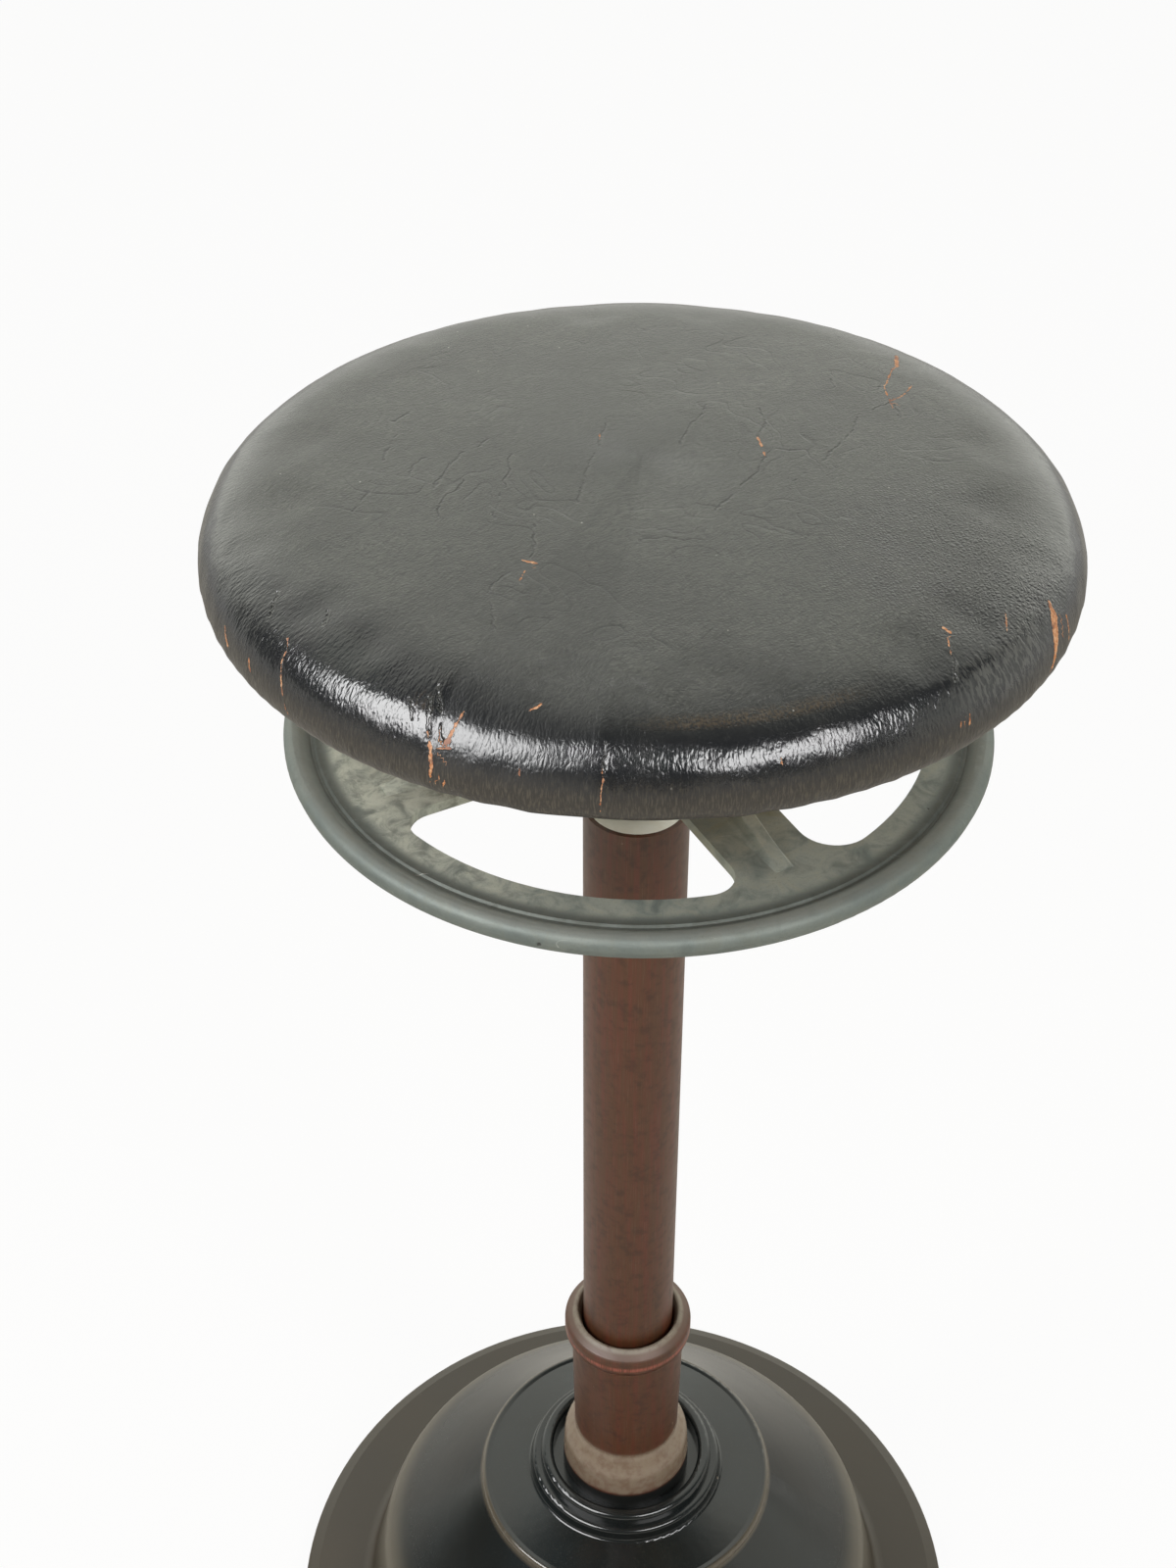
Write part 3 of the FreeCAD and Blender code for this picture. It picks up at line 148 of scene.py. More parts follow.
class FinishColours(bpy.types.PropertyGroup):
    worn_leather: colour("Worn leather", "Matt grey-green of the worn top", 0.040, 0.042, 0.035)
    bruised_leather: colour("Bruised leather", "Purple-grey patch at the top's right", 0.022, 0.020, 0.027)
    black_leather: colour("Black leather", "Glossy black of the shoulder", 0.011, 0.012, 0.014)
    brown_leather: colour("Brown leather", "Brown-grey of the lower side", 0.013, 0.009, 0.005)
    tan_hide: colour("Tan hide", "Bare hide in the splits", 0.45, 0.160, 0.045)
    pale_hide: colour("Pale hide", "Frayed edges of the splits", 0.64, 0.36, 0.19)
    # Also painted as shade on the socket's lowest part, where it sinks into the base's hub.
    enamel: colour("Black enamel", "Enamel of the base", 0.012, 0.013, 0.012)
    faded_enamel: colour("Faded enamel", "Brownish tint of the base's thinner enamel", 0.040, 0.028, 0.014)
    iron: colour("Bare iron", "Cast iron under chipped enamel", 0.16, 0.13, 0.10)
    lacquer: colour("Brown lacquer", "Lacquer of the column", 0.076, 0.028, 0.010)
    red_lacquer: colour("Red lacquer", "Redder lacquer low on the socket", 0.115, 0.022, 0.012)
    # Painted on the socket's foot dome both as rubbed lacquer and as a painted reflection of light on its
    # glossy curve.
    rubbed_lacquer_and_sheen: colour("Worn lacquer", "Rubbed lacquer at the socket's lip and foot", 0.235, 0.180, 0.130)
    aluminium: colour("Aluminium", "Patinated cast aluminium of the handwheel", 0.265, 0.290, 0.255)
    stained_aluminium: colour("Stained aluminium", "Warm stains on the handwheel", 0.205, 0.190, 0.125)
    steel: colour("Steel", "Turned steel of spindle and screws", 0.42, 0.41, 0.39)
    nickel: colour("Nickel", "Dull nickel of the spindle nut", 0.95, 0.93, 0.83)
    brass: colour("Brass", "Brass of cage, bush and tacks", 0.50, 0.33, 0.12)
    beech: colour("Beech", "Beech of the seat board", 0.42, 0.23, 0.11)


class StageSettings(bpy.types.PropertyGroup):
    floor: colour("Floor", "Colour of the floor", 0.64, 0.60, 0.54)
    floor_size: length("Floor size", "Width of the floor", 60.0)
    glow: share("Glow", "Share of plain white in the floor as the camera sees it", 0.94)
    mirror: share("Mirror", "Share of that white which reflections see too", 0.15)
    back: amount("Back", "Brightness of the studio's back wall", 1.65)
    left_lamp: amount("Left lamp", "Power of the left lamp", 44.0, "POWER")
    right_lamp: amount("Right lamp", "Power of the right lamp", 40.0, "POWER")
    shine: amount("Shine", "Brightness of both lamps in reflections", 12.0)
    lamp_distance: length("Lamp distance", "Distance of the lamps from the seat", 2.2)
    camera_height: length("Camera height", "Height of the camera over the floor", EYE.z)
    camera_distance: length("Camera distance", "Distance of the camera from the stool's axis", -EYE.y)
    lens: amount("Lens", "Focal length of the camera in millimetres", LENS)
    shift: FloatProperty(name="Shift", description="Sideways shift of the camera's picture", default=SHIFT)


SETTINGS = {
    "stool_cover": CoverSizes,
    "stool_thread": ThreadSizes,
    "stool_screws": ScrewSizes,
    "stool_colours": FinishColours,
    "stool_stage": StageSettings,
}


# Modelling by hand: small steps shared by the pieces.


def rest():
    """Leaves edit mode with nothing selected."""
    if bpy.context.object and bpy.context.object.mode != "OBJECT":
        bpy.ops.object.mode_set(mode="OBJECT")
    bpy.ops.object.select_all(action="DESELECT")


def hold(piece):
    """Makes a piece the only one selected."""
    rest()
    piece.select_set(True)
    bpy.context.view_layer.objects.active = piece


def draw(name, section):
    """A chain of edges through the section's (radius, height) points, drawn by extruding a single vertex."""
    rest()
    bpy.ops.mesh.primitive_plane_add(size=MM, location=(section[0][0], 0, section[0][1]))
    piece = bpy.context.object
    piece.name = piece.data.name = name
    bpy.ops.object.transform_apply(location=True, rotation=True, scale=True)
    bpy.ops.object.mode_set(mode="EDIT")
    bpy.ops.mesh.select_mode(type="VERT")
    bpy.ops.mesh.select_all(action="SELECT")
    bpy.ops.mesh.merge(type="CENTER")
    for (r0, z0), (r1, z1) in zip(section, section[1:]):
        bpy.ops.mesh.extrude_vertices_move(TRANSFORM_OT_translate={"value": (r1 - r0, 0, z1 - z0)})
    return piece


def turned(name, section, steps=96):
    """A piece turned about the stool's axis from a section that starts and ends on the axis, or is closed."""
    piece = draw(name, section)
    bpy.ops.mesh.select_all(action="SELECT")
    bpy.ops.mesh.spin(steps=steps, angle=math.tau, center=(0, 0, 0), axis=(0, 0, 1))
    bpy.ops.mesh.select_all(action="SELECT")
    bpy.ops.mesh.remove_doubles(threshold=0.01 * MM)
    bpy.ops.mesh.normals_make_consistent(inside=False)
    bpy.ops.object.mode_set(mode="OBJECT")
    return piece


def arc(centre, radius, start, end, steps):
    """Points of an arc from one angle to another, in degrees from the outward direction."""
    angles = [math.radians(start + (end - start) * i / steps) for i in range(steps + 1)]
    return [(centre[0] + radius * math.cos(a), centre[1] + radius * math.sin(a)) for a in angles]


def modify(piece, kind, **settings):
    """Adds a modifier, sets it and applies it."""
    hold(piece)
    made = piece.modifiers.new(kind.title(), kind)
    for name, value in settings.items():
        setattr(made, name, value)
    bpy.ops.object.modifier_apply(modifier=made.name)


def cut(piece, cutter):
    """Cuts a closed shape out of a piece and removes the cutter."""
    modify(piece, "BOOLEAN", operation="DIFFERENCE", object=cutter, solver="MANIFOLD")
    bpy.data.objects.remove(cutter)


def smooth(piece, degrees=35):
    hold(piece)
    bpy.ops.object.shade_smooth_by_angle(angle=math.radians(degrees))
    rest()


def dress(piece, body, slot, finish, *nodes):
    """Gives a new piece its body, its finish and the CAD nodes that it stands for. The slot is not used."""
    piece.data.materials.clear()
    piece.data.materials.append(finish)
    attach(piece, body)
    if nodes:
        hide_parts(*nodes)
    rest()


def paint(finish, *nodes):
    """Gives CAD nodes a finish in their material slots."""
    for name in nodes:
        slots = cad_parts[name].material_slots
        if not slots:
            raise RuntimeError(f"{name} has no material slot")
        for each in slots:
            each.material = finish


# Finishes: node materials written as sums.


class Wire:
    """One socket of a finish. Arithmetic on it adds Math nodes."""

    def __init__(self, finish, socket):
        self.finish = finish
        self.socket = socket

    def maths(self, operation, *others):
        return self.finish.node("Math", {"operation": operation}, [self, *others])

    def __add__(self, other):
        return self.maths("ADD", other)

    def __sub__(self, other):
        return self.maths("SUBTRACT", other)

    def __mul__(self, other):
        return self.maths("MULTIPLY", other)

    def __truediv__(self, other):
        return self.maths("DIVIDE", other)

    def __neg__(self):
        return self.maths("MULTIPLY", -1.0)

    def __rsub__(self, first):
        return self.finish.node("Math", {"operation": "SUBTRACT"}, [first, self])

    __radd__ = __add__
    __rmul__ = __mul__

    def least(self, other):
        return self.maths("MINIMUM", other)

    def most(self, other):
        return self.maths("MAXIMUM", other)

    def rise(self, low, high):
        """0 below low, 1 above high, and smooth between them. Low may be above high."""
        inputs = {"Value": self, "From Min": low, "From Max": high}
        return self.finish.node("MapRange", {"interpolation_type": "SMOOTHSTEP"}, inputs)

    def band(self, low, high, soft):
        """1 between low and high, fading over soft at either side."""
        return self.rise(low - soft, low + soft) * self.rise(high + soft, high - soft)


class Nodes:
    """A node tree that grows by calls."""

    def __init__(self, tree):
        self.tree = tree
        self.tree.nodes.clear()

    def feed(self, socket, value):
        """Links a wire to a socket, or sets the socket to a plain value."""
        if isinstance(value, Wire):
            self.tree.links.new(value.socket, socket)
        elif socket.type == "RGBA":
            socket.default_value = (*tuple(value)[:3], 1.0)
        else:
            socket.default_value = value

    def node(self, kind, settings=None, inputs=(), output=None):
        """Adds a shader node. Inputs are given by name, or in order with a dict for those named."""
        made = self.tree.nodes.new("ShaderNode" + kind)
        for name, value in (settings or {}).items():
            setattr(made, name, value)
        free = [s for s in made.inputs if s.enabled]
        for key, value in inputs.items() if isinstance(inputs, dict) else enumerate(inputs):
            if isinstance(key, str):
                self.feed(next(s for s in free if s.name == key), value)
            elif isinstance(value, dict):
                for label, each in value.items():
                    self.feed(next(s for s in free if s.name == label), each)
            else:
                self.feed(free[key], value)
        shown = [s for s in made.outputs if s.enabled]
        return Wire(self, next(s for s in shown if output in (None, s.name)))

    def split(self, vector):
        return [self.node("SeparateXYZ", inputs=[vector], output=axis) for axis in "XYZ"]


class Finish(Nodes):
    """A procedural material. Its patterns are measured in millimetres of the piece's own space."""

    def __init__(self, name, **constants):
        self.material = bpy.data.materials.new(name)
        self.material.use_nodes = True
        super().__init__(self.material.node_tree)
        self.shader = self.tree.nodes.new("ShaderNodeBsdfPrincipled")
        self.output = self.tree.nodes.new("ShaderNodeOutputMaterial")
        self.tree.links.new(self.shader.outputs["BSDF"], self.output.inputs["Surface"])
        for label, value in constants.items():
            self.feed(self.shader.inputs[label.replace("_", " ")], value)
        place = self.node("TexCoord", output="Object")
        self.place = self.vector("SCALE", place, {"Scale": 1.0 / MM})
        self.x, self.y, self.z = self.split(self.place)
        self.radius = (self.x * self.x + self.y * self.y).maths("SQRT")
        self.azimuth = self.x.maths("ARCTAN2", -self.y)

    def vector(self, operation, *inputs, output=None):
        return self.node("VectorMath", {"operation": operation}, inputs, output)

    def join(self, x, y, z):
        return self.node("CombineXYZ", inputs=[x, y, z])

    def sector(self, start, end, soft):
        """1 between two azimuths in degrees, fading over soft at either side."""
        return self.azimuth.band(math.radians(start), math.radians(end), math.radians(soft))

    def stretch(self, vector, x, y, z):
        """The place divided by a size along each axis, in millimetres, so that a pattern has that grain."""
        return self.vector("DIVIDE", vector, (x, y, z))

    def cloud(self, size, place=None, detail=3.0, rough=0.55, warp=0.0, output="Fac"):
        """Noise with features of about that size in millimetres."""
        inputs = {"Vector": place or self.place, "Scale": 1.0 / size}
        inputs.update({"Detail": detail, "Roughness": rough, "Distortion": warp})
        return self.node("TexNoise", inputs=inputs, output=output)

    def cells(self, size, place=None, feature="DISTANCE_TO_EDGE"):
        """Distance within irregular cells of about that size in millimetres."""
        inputs = {"Vector": place or self.place, "Scale": 1.0 / size, "Randomness": 1.0}
        return self.node("TexVoronoi", {"feature": feature}, inputs, "Distance")

    def specks(self, size, place=None):
        """Distance to the nearest of points strewn about that far apart, in units of that distance."""
        return self.cells(size, place, "F1")

    def warped(self, place, size, reach, detail=2.0):
        """The place moved about by noise of a size and a reach in millimetres."""
        shift = self.vector("SUBTRACT", self.cloud(size, place, detail, output="Color"), (0.5, 0.5, 0.5))
        return self.vector("ADD", place, self.vector("SCALE", shift, {"Scale": reach * 2.0}))

    def mix(self, factor, first, second):
        """One colour into another."""
        settings = {"data_type": "RGBA", "clamp_factor": True}
        return self.node("Mix", settings, {"Factor": factor, "A": first, "B": second}, "Result")

    def painted(self, name):
        """A value that was painted on the piece's points."""
        return self.node("Attribute", {"attribute_name": name}, output="Fac")

    def near(self, azimuth, radius, height, size):
        """Distance to a place given by azimuth, radius and height, in units of a size."""
        a = math.radians(azimuth)
        centre = (radius * math.sin(a), -radius * math.cos(a), height)
        return self.vector("DISTANCE", self.place, centre, output="Value") / size

    def surface(self, shade, rough, height, metal=None):
        """Feeds the shader and gives the material back. Height is in millimetres."""
        self.feed(self.shader.inputs["Base Color"], shade)
        self.feed(self.shader.inputs["Roughness"], rough)
        if metal is not None:
            self.feed(self.shader.inputs["Metallic"], metal)
        bump = self.node("Bump", inputs={"Strength": 1.0, "Distance": MM, "Height": height})
        self.feed(self.shader.inputs["Normal"], bump)
        return self.material


def tints():
    """The colours that a user may change."""
    return bpy.context.scene.stool_colours


# The leather cover.

# Splits in the leather, read off the photograph: paths of (x, y) in its pixels and a width in mm.
SPLITS = {
    "far split": ((915, 364, 2.4), (915, 374, 2.2)),
    "far split thin": ((915, 374, 0.9), (911, 377, 0.9), (905.5, 389, 0.8), (902, 396.6, 0.8),
        (908, 410.7, 0.9), (921, 405, 0.7), (930, 395, 0.6)),
    "mid split": ((773, 446.8, 1.1), (777, 455.6, 1.5)),
    "mid split dot": ((779, 462, 1.2), (780.5, 466, 0.7)),
    "centre fleck": ((612, 444, 0.5), (612, 449, 0.6)),
    "middle scab": ((534, 573, 1.3), (547, 576, 1.5)),
    "middle scab tail": ((538, 580, 0.4), (530.6, 593, 0.4)),
    "left slit": ((294, 654, 0.7), (293, 666.7, 0.8), (287, 679, 0.9), (286.8, 697.7, 0.8),
        (289.5, 716, 0.4), (297, 735, 0.4)),
    "left edge slit": ((229.8, 645, 1.4), (234.4, 665.6, 1.4)),
    "left edge slit 2": ((254.6, 679, 1.2), (257, 691, 1.2)),
    "front long": ((436.5, 750.5, 0.5), (438.8, 766.6, 1.4), (441, 787, 1.8), (441, 803, 0.5)),
    "front leaning": ((473, 727.6, 0.7), (466, 741, 1.3), (459.4, 752.8, 1.9), (454, 764, 3.2)),
    "front leaning foot": ((446, 769, 0.5), (459, 769, 1.2)),
    "front chip": ((454.4, 802, 1.3), (454.8, 809, 1)),
    "front small": ((530, 792, 0.9), (531, 801, 0.8)),
    "front ragged": ((542, 724, 0.9), (550, 719.5, 1.3), (553.5, 716, 0.8)),
    "seam split": ((614.5, 788.6, 0.5), (615.5, 800.8, 1.2), (613.5, 813, 0.7), (613, 833, 0.4)),
    "right fleck": ((797, 779, 0.7), (798, 784, 0.7)),
    "right scab": ((963, 640, 1.4), (970, 646, 1.8)),
    "right scab tail": ((966.8, 651, 0.5), (970, 668, 0.9)),
    "right faint": ((1026, 627, 0.7), (1028, 646, 0.4)),
    "right big": ((1071, 617, 1.4), (1076, 633, 5.2), (1077, 648, 5.6), (1076, 667, 3.6),
        (1070, 689, 1.6)),
    "right edge": ((1088, 635, 1.2), (1088, 657, 1.6)),
    "right low": ((989.5, 736, 1.2), (988.5, 745, 1.4)),
    "right low 2": ((980.5, 742, 0.6), (979.5, 748, 0.7)),
}
# Splits at the back, which the photograph doesn't show. Each is a path of (azimuth in degrees, reach,
# width), and reach is the way in millimetres over the leather from the middle of the top.
SPLITS_BEHIND = (
    ((178.0, 168.0, 0.6), (177.2, 174.0, 1.3), (177.6, 180.0, 0.7)),
    ((-141.0, 163.0, 0.7), (-140.2, 171.0, 1.1), (-140.6, 176.0, 0.5)),
    ((152.0, 160.0, 0.9), (151.0, 163.0, 1.2)),
)
# Creases where the leather has folded and not split, read off the photograph: paths of (x, y).
CREASE_WIDTH = 0.70
CREASES = {
    "left branch": ((498.5, 446.5), (489.5, 456.7), (475.5, 460.5), (462.8, 472), (451, 486), (442, 499)),
    "left fork": ((474, 492), (465, 502.6), (455, 506), (447.4, 516.6), (447.4, 528)),
    "far left nick": ((415.6, 423.5), (401.5, 431)),
    "left arc": ((404, 445), (394, 460.5), (392.6, 470.7)),
    "left hook": ((433, 468), (422, 476), (418, 486)),
    "left low hook": ((376, 504), (366, 514), (360.7, 523)),
    "far middle": ((721, 415), (712.6, 427.5), (700, 440), (693, 454)),
    "beside mid split": ((774, 418.7), (779, 432.8), (774, 447)),
    "middle slant": ((781.7, 468), (765, 490.6), (730, 522)),
    "middle long": ((619, 429), (612.6, 450), (597, 485), (590, 513)),
    "right ripple": ((875.7, 422), (870, 440), (856, 454), (846, 462.6), (837, 475), (821, 461), (793, 459)),
    "right nick": ((821, 484), (811, 492)),
    "scab tail": ((547, 527), (544, 552), (542, 570)),
    "before the scab": ((519, 586), (498, 603.6), (501, 624), (504, 642.6)),
    "left rim": ((282.6, 606), (280, 619.7), (275.8, 629)),
    "left rim second": ((333, 624), (330, 638)),
    "far split foot": ((891.5, 396.6), (902, 396.6)),
    "far split cross": ((888, 420.5), (907, 412)),
    "far split fork": ((912, 415), (919.5, 427.5)),
    "right rim": ((971, 672), (974.5, 696)),
    "front left rim": ((419, 716), (420, 736)),
    "front seam": ((449, 702), (449, 757)),
    "patch seam": ((617, 764), (617, 790)),
    "front left seam": ((436.5, 716), (436.5, 750)),
    "far right hook": ((847.5, 389), (849, 397), (838, 399)),
    "middle left": ((521, 465), (515, 495), (506, 530)),
}
# Azimuth of each edge of the sewn patch at the front, and how far the leather steps down there, in mm.
SEAMS = ((-25.2, 0.5), (-3.7, 0.45))
# Places on the leather as (azimuth, radius, height, size) in degrees and millimetres.
GLOSSY_PLACE = (-40.0, 146.0, 724.0, 105.0)
BRUISED_PLACE = (64.0, 122.0, 727.0, 60.0)
RUBBED_PLACE = (-27.0, 156.0, 722.0, 9.0)


def cover_section(radius, fullness, inward=0.0):
    """Outline of the cover as (radius, height), from the middle of the top to the hem's fold.

    A flat arc leads from the crown over the brow to the knee, and a steep one from there to the side.
    """
    sizes = bpy.context.scene.stool_cover
    foot = COVER_LOW.z
    brow = radius - sizes.shoulder_width
    level = COVER_HIGH.z - sizes.crown - sizes.shoulder_height
    knee = (brow + fullness * sizes.shoulder_width, level + fullness * sizes.shoulder_height)
    top = level + sizes.shoulder_height
    slope = 2.0 * sizes.crown / brow
    steps = 24
    section = [(brow * i / steps, COVER_HIGH.z - sizes.crown * (i / steps) ** 2) for i in range(steps + 1)]
    across, down = knee[0] - brow, top - knee[1]
    flat = (across**2 + down**2) * math.hypot(slope, 1.0) / (2.0 * (down - slope * across))
    lean = math.degrees(math.atan(slope))
    centre = (brow - flat * math.sin(math.radians(lean)), top - flat * math.cos(math.radians(lean)))
    end = math.degrees(math.atan2(knee[1] - centre[1], knee[0] - centre[0]))
    section += arc(centre, flat, 90.0 - lean, end, 8)[1:]
    across, down = radius - knee[0], knee[1] - level
    steep = (across**2 + down**2) / (2.0 * across)
    start = math.degrees(math.asin(down / steep))
    section += arc((radius - steep, level), steep, start, 0.0, 8)[1:]
    hem = sizes.hem_rounding
    section += arc((radius - hem, foot + hem), hem, 0.0, -90.0, 6)

    def drawn_in(r, z):
        raised = min(1.0, max(0.0, (z - foot) / (level - foot)))
        return r - inward * min(r / brow, 1.0), z - inward * raised

    return [drawn_in(r, z) for r, z in section] if inward else section


class Surface:
    """An outline of the cover measured by reach: the way over the leather from the middle of the top."""

    def __init__(self, radius, fullness):
        self.section = np.array(cover_section(radius, fullness))
        self.reaches = np.concatenate([[0.0], np.cumsum(np.hypot(*np.diff(self.section, axis=0).T))])

    def point(self, azimuth, reach):
        r = np.interp(reach * MM, self.reaches, self.section[:, 0])
        z = np.interp(reach * MM, self.reaches, self.section[:, 1])
        a = math.radians(azimuth)
        return np.array([r * math.sin(a), -r * math.cos(a), z])

    def seen(self, x, y):
        """Azimuth and reach of the leather that the photograph shows at a pixel.

        The pixel's ray is met with the cone that each step of the outline turns, and the first hit counts.
        """
        focal = LENS / SENSOR * PHOTO_HEIGHT
        right = (x - PHOTO_WIDTH / 2 + SHIFT * PHOTO_HEIGHT) / focal
        down = (y - PHOTO_HEIGHT / 2) / focal
        eye, ray = np.array(EYE), np.array(AHEAD + RIGHT * right + DOWN * down)
        r, z = self.section[:-1].T
        wide, high = np.diff(self.section, axis=0).T
        slope = wide / high
        level = r + slope * (eye[2] - z)
        square = ray[0] ** 2 + ray[1] ** 2 - (slope * ray[2]) ** 2
        half = eye[0] * ray[0] + eye[1] * ray[1] - level * slope * ray[2]
        under_root = half**2 - square * (eye[0] ** 2 + eye[1] ** 2 - level**2)
        hits = []
        for sign in (-1.0, 1.0):
            way = (sign * np.sqrt(np.maximum(under_root, 0.0)) - half) / square
            along = (eye[2] + way * ray[2] - z) / high
            outward = level + slope * way * ray[2] >= 0.0
            met = (under_root >= 0.0) & (along >= 0.0) & (along <= 1.0) & outward
            hits += [(way[i], i, along[i]) for i in np.flatnonzero(met)]
        way, i, along = min(hits)
        place = eye + way * ray
        reach = self.reaches[i] + along * (self.reaches[i + 1] - self.reaches[i])
        return math.degrees(math.atan2(place[0], -place[1])), reach / MM

    def read(self, paths):
        """Paths of (x, y) in the photograph's pixels as paths of (azimuth, reach), with their widths kept."""
        return [[(*self.seen(x, y), *width) for x, y, *width in path] for path in paths.values()]

    def reach(self, points):
        """Reach of each point, by the nearest place of the outline."""
        flat = np.stack([np.hypot(points[:, 0], points[:, 1]), points[:, 2]], axis=1)
        best = np.full(len(flat), np.inf)
        found = np.zeros(len(flat))
        for i in range(len(self.section) - 1):
            a, b = self.section[i], self.section[i + 1]
            along = b - a
            t = np.clip(((flat - a) @ along) / (along @ along), 0.0, 1.0)
            gap = np.linalg.norm(flat - a - t[:, None] * along, axis=1)
            nearer = gap < best
            best[nearer] = gap[nearer]
            found[nearer] = self.reaches[i] + t[nearer] * np.linalg.norm(along)
        return found


def present_surface():
    """The outline that the cover has."""
    sizes = bpy.context.scene.stool_cover
    return Surface(sizes.radius, sizes.fullness)


def lines_on(points, normals, paths, far):
    """For each point the signed distance to the nearest path, and the half width there.

    What lies past a path's end is taken off the half width.
    """
    surface = present_surface()
    across = np.full(len(points), far)
    half = np.full(len(points), -far)
    best = np.full(len(points), far)
    for path in paths:
        spots = [surface.point(p[0], p[1]) for p in path]
        widths = [(p[2] if len(p) > 2 else CREASE_WIDTH) * MM / 2 for p in path]
        last = len(spots) - 2
        for i, (a, b) in enumerate(zip(spots, spots[1:])):
            along = b - a
            t = ((points - a) @ along) / (along @ along)
            held = np.clip(t, 0.0, 1.0)
            away = points - a - held[:, None] * along
            side = np.cross(normals, along / np.linalg.norm(along))
            distance = np.linalg.norm(away, axis=1)
            nearer = distance < best
            over = np.abs(t - held) * np.linalg.norm(along)
            width = widths[i] + (widths[i + 1] - widths[i]) * held
            ends = ((i == 0) & (t < 0)) | ((i == last) & (t > 1))
            best[nearer] = distance[nearer]
            across[nearer] = np.einsum("ij,ij->i", away, side)[nearer]
            half[nearer] = np.where(ends, width - over, width)[nearer]
    return across, half


def points_of(mesh):
    found = np.zeros(len(mesh.vertices) * 3)
    mesh.vertices.foreach_get("co", found)
    return found.reshape(-1, 3)


def normals_of(mesh):
    found = np.zeros(len(mesh.vertices) * 3)
    mesh.vertex_normals.foreach_get("vector", found)
    return found.reshape(-1, 3)


def move_to(mesh, points):
    mesh.vertices.foreach_set("co", points.ravel())
    mesh.update()


def store(mesh, name, values):
    mesh.attributes.new(name, "FLOAT", "POINT").data.foreach_set("value", values.astype(np.float32))


def stuff(piece):
    """Swells the cover with a cloth simulation and leaves the result in its mesh."""
    sizes = bpy.context.scene.stool_cover
    hem = piece.vertex_groups.new(name="hem")
    low = COVER_LOW.z + sizes.hem_rounding * 0.6
    hem.add([v.index for v in piece.data.vertices if v.co.z < low], 1.0, "REPLACE")
    start = points_of(piece.data)
    cloth = piece.modifiers.new("Cloth", "CLOTH")
    cloth.settings.quality = 5
    cloth.settings.mass = 0.4
    cloth.settings.tension_stiffness = 25.0
    cloth.settings.compression_stiffness = 25.0
    cloth.settings.bending_stiffness = 12.0
    cloth.settings.use_pressure = True
    cloth.settings.uniform_pressure_force = 4.0
    cloth.settings.vertex_group_mass = hem.name
    cloth.settings.effector_weights.gravity = 0.0
    frames = 20
    cloth.point_cache.frame_end = frames
    for number in range(1, frames + 1):
        bpy.context.scene.frame_set(number)
    hold(piece)
    bpy.ops.object.modifier_apply(modifier=cloth.name)
    bpy.context.scene.frame_set(1)
    move = points_of(piece.data) - start
    size = np.linalg.norm(move, axis=1)
    capped = move * (sizes.swell * np.tanh(size / sizes.swell) / np.maximum(size, 1e-9))[:, None]
    move_to(piece.data, start + capped)
    piece.vertex_groups.clear()


def settle(piece):
    """Soft dents, a wavering rim and gathers above the hem, as moves of the cover's points."""
    surface = present_surface()
    points = points_of(piece.data)
    normals = normals_of(piece.data)
    reach = surface.reach(points) / MM
    azimuth = np.degrees(np.arctan2(points[:, 0], -points[:, 1]))
    offset = np.zeros(len(points))
    upper = 1.0 - np.clip((reach - 178.0) / 8.0, 0.0, 1.0)
    rim = np.exp(-(((reach - 160.0) / 16.0) ** 2))
    low = np.clip((reach - 150.0) / 18.0, 0.0, 1.0) * upper
    for i, (point, lift, edge, gather) in enumerate(zip(points, upper, rim, low)):
        if lift <= 0.0:
            continue
        dents = noise.fractal(Vector(point) / 0.055, 0.6, 2.2, 2)
        waver = noise.noise(Vector((point[0] / 0.05, point[1] / 0.05, 7.3)))
        turn_at = math.radians(azimuth[i])
        pleats = noise.noise(Vector((math.sin(turn_at) * 19.0, math.cos(turn_at) * 19.0, reach[i] / 60.0)))
        offset[i] = (dents * (0.18 - edge * 0.10) * lift + waver * 0.12 * edge + pleats * 0.05 * gather) * MM
    for at, deep in SEAMS:
        beside = azimuth - at
        fade = np.exp(-np.abs(beside) / 9.0) * rim
        sunk = np.where(beside > 0.0, -1.0, 0.25) * np.clip(np.abs(beside) / 0.7, 0.0, 1.0)
        offset += sunk * fade * deep * MM
    ceiling = np.clip(COVER_HIGH.z - 0.1 * MM - points[:, 2], 0.0, 10.0 * MM)
    offset = np.where(normals[:, 2] > 0.5, np.minimum(offset, ceiling), offset)
    move_to(piece.data, points + normals * offset[:, None])


def hollow(piece):
    """Cuts the board's pocket out of the cover and leaves the hem under it."""
    sizes = bpy.context.scene.stool_cover
    hole = sizes.radius - sizes.hem_width
    low = COVER_LOW.z - 10 * MM
    step = COVER_LOW.z + sizes.leather - 0.05 * MM
    wide = BOARD_HIGH.x + sizes.board_play
    high = BOARD_HIGH.z + sizes.board_play
    section = [(0, low), (hole, low), (hole, step), (wide, step), (wide, high), (0, high)]
    cut(piece, turned("board_pocket", section, 160))


def mark(piece):
    """Paints reach, splits and creases on the cover's points.

    What was read off the photograph is projected onto the CAD's outline, and keeps its reach on this one.
    """
    mesh = piece.data
    points, normals = points_of(mesh), normals_of(mesh)
    store(mesh, "reach", present_surface().reach(points) / MM)
    cad = Surface(COVER_HIGH.x, CAD_FULLNESS)
    splits = cad.read(SPLITS) + list(SPLITS_BEHIND)
    for name, paths in (("split", splits), ("crease", cad.read(CREASES))):
        across, half = lines_on(points, normals, paths, 6 * MM)
        store(mesh, name, across / MM)
        store(mesh, name + "_half", half / MM)


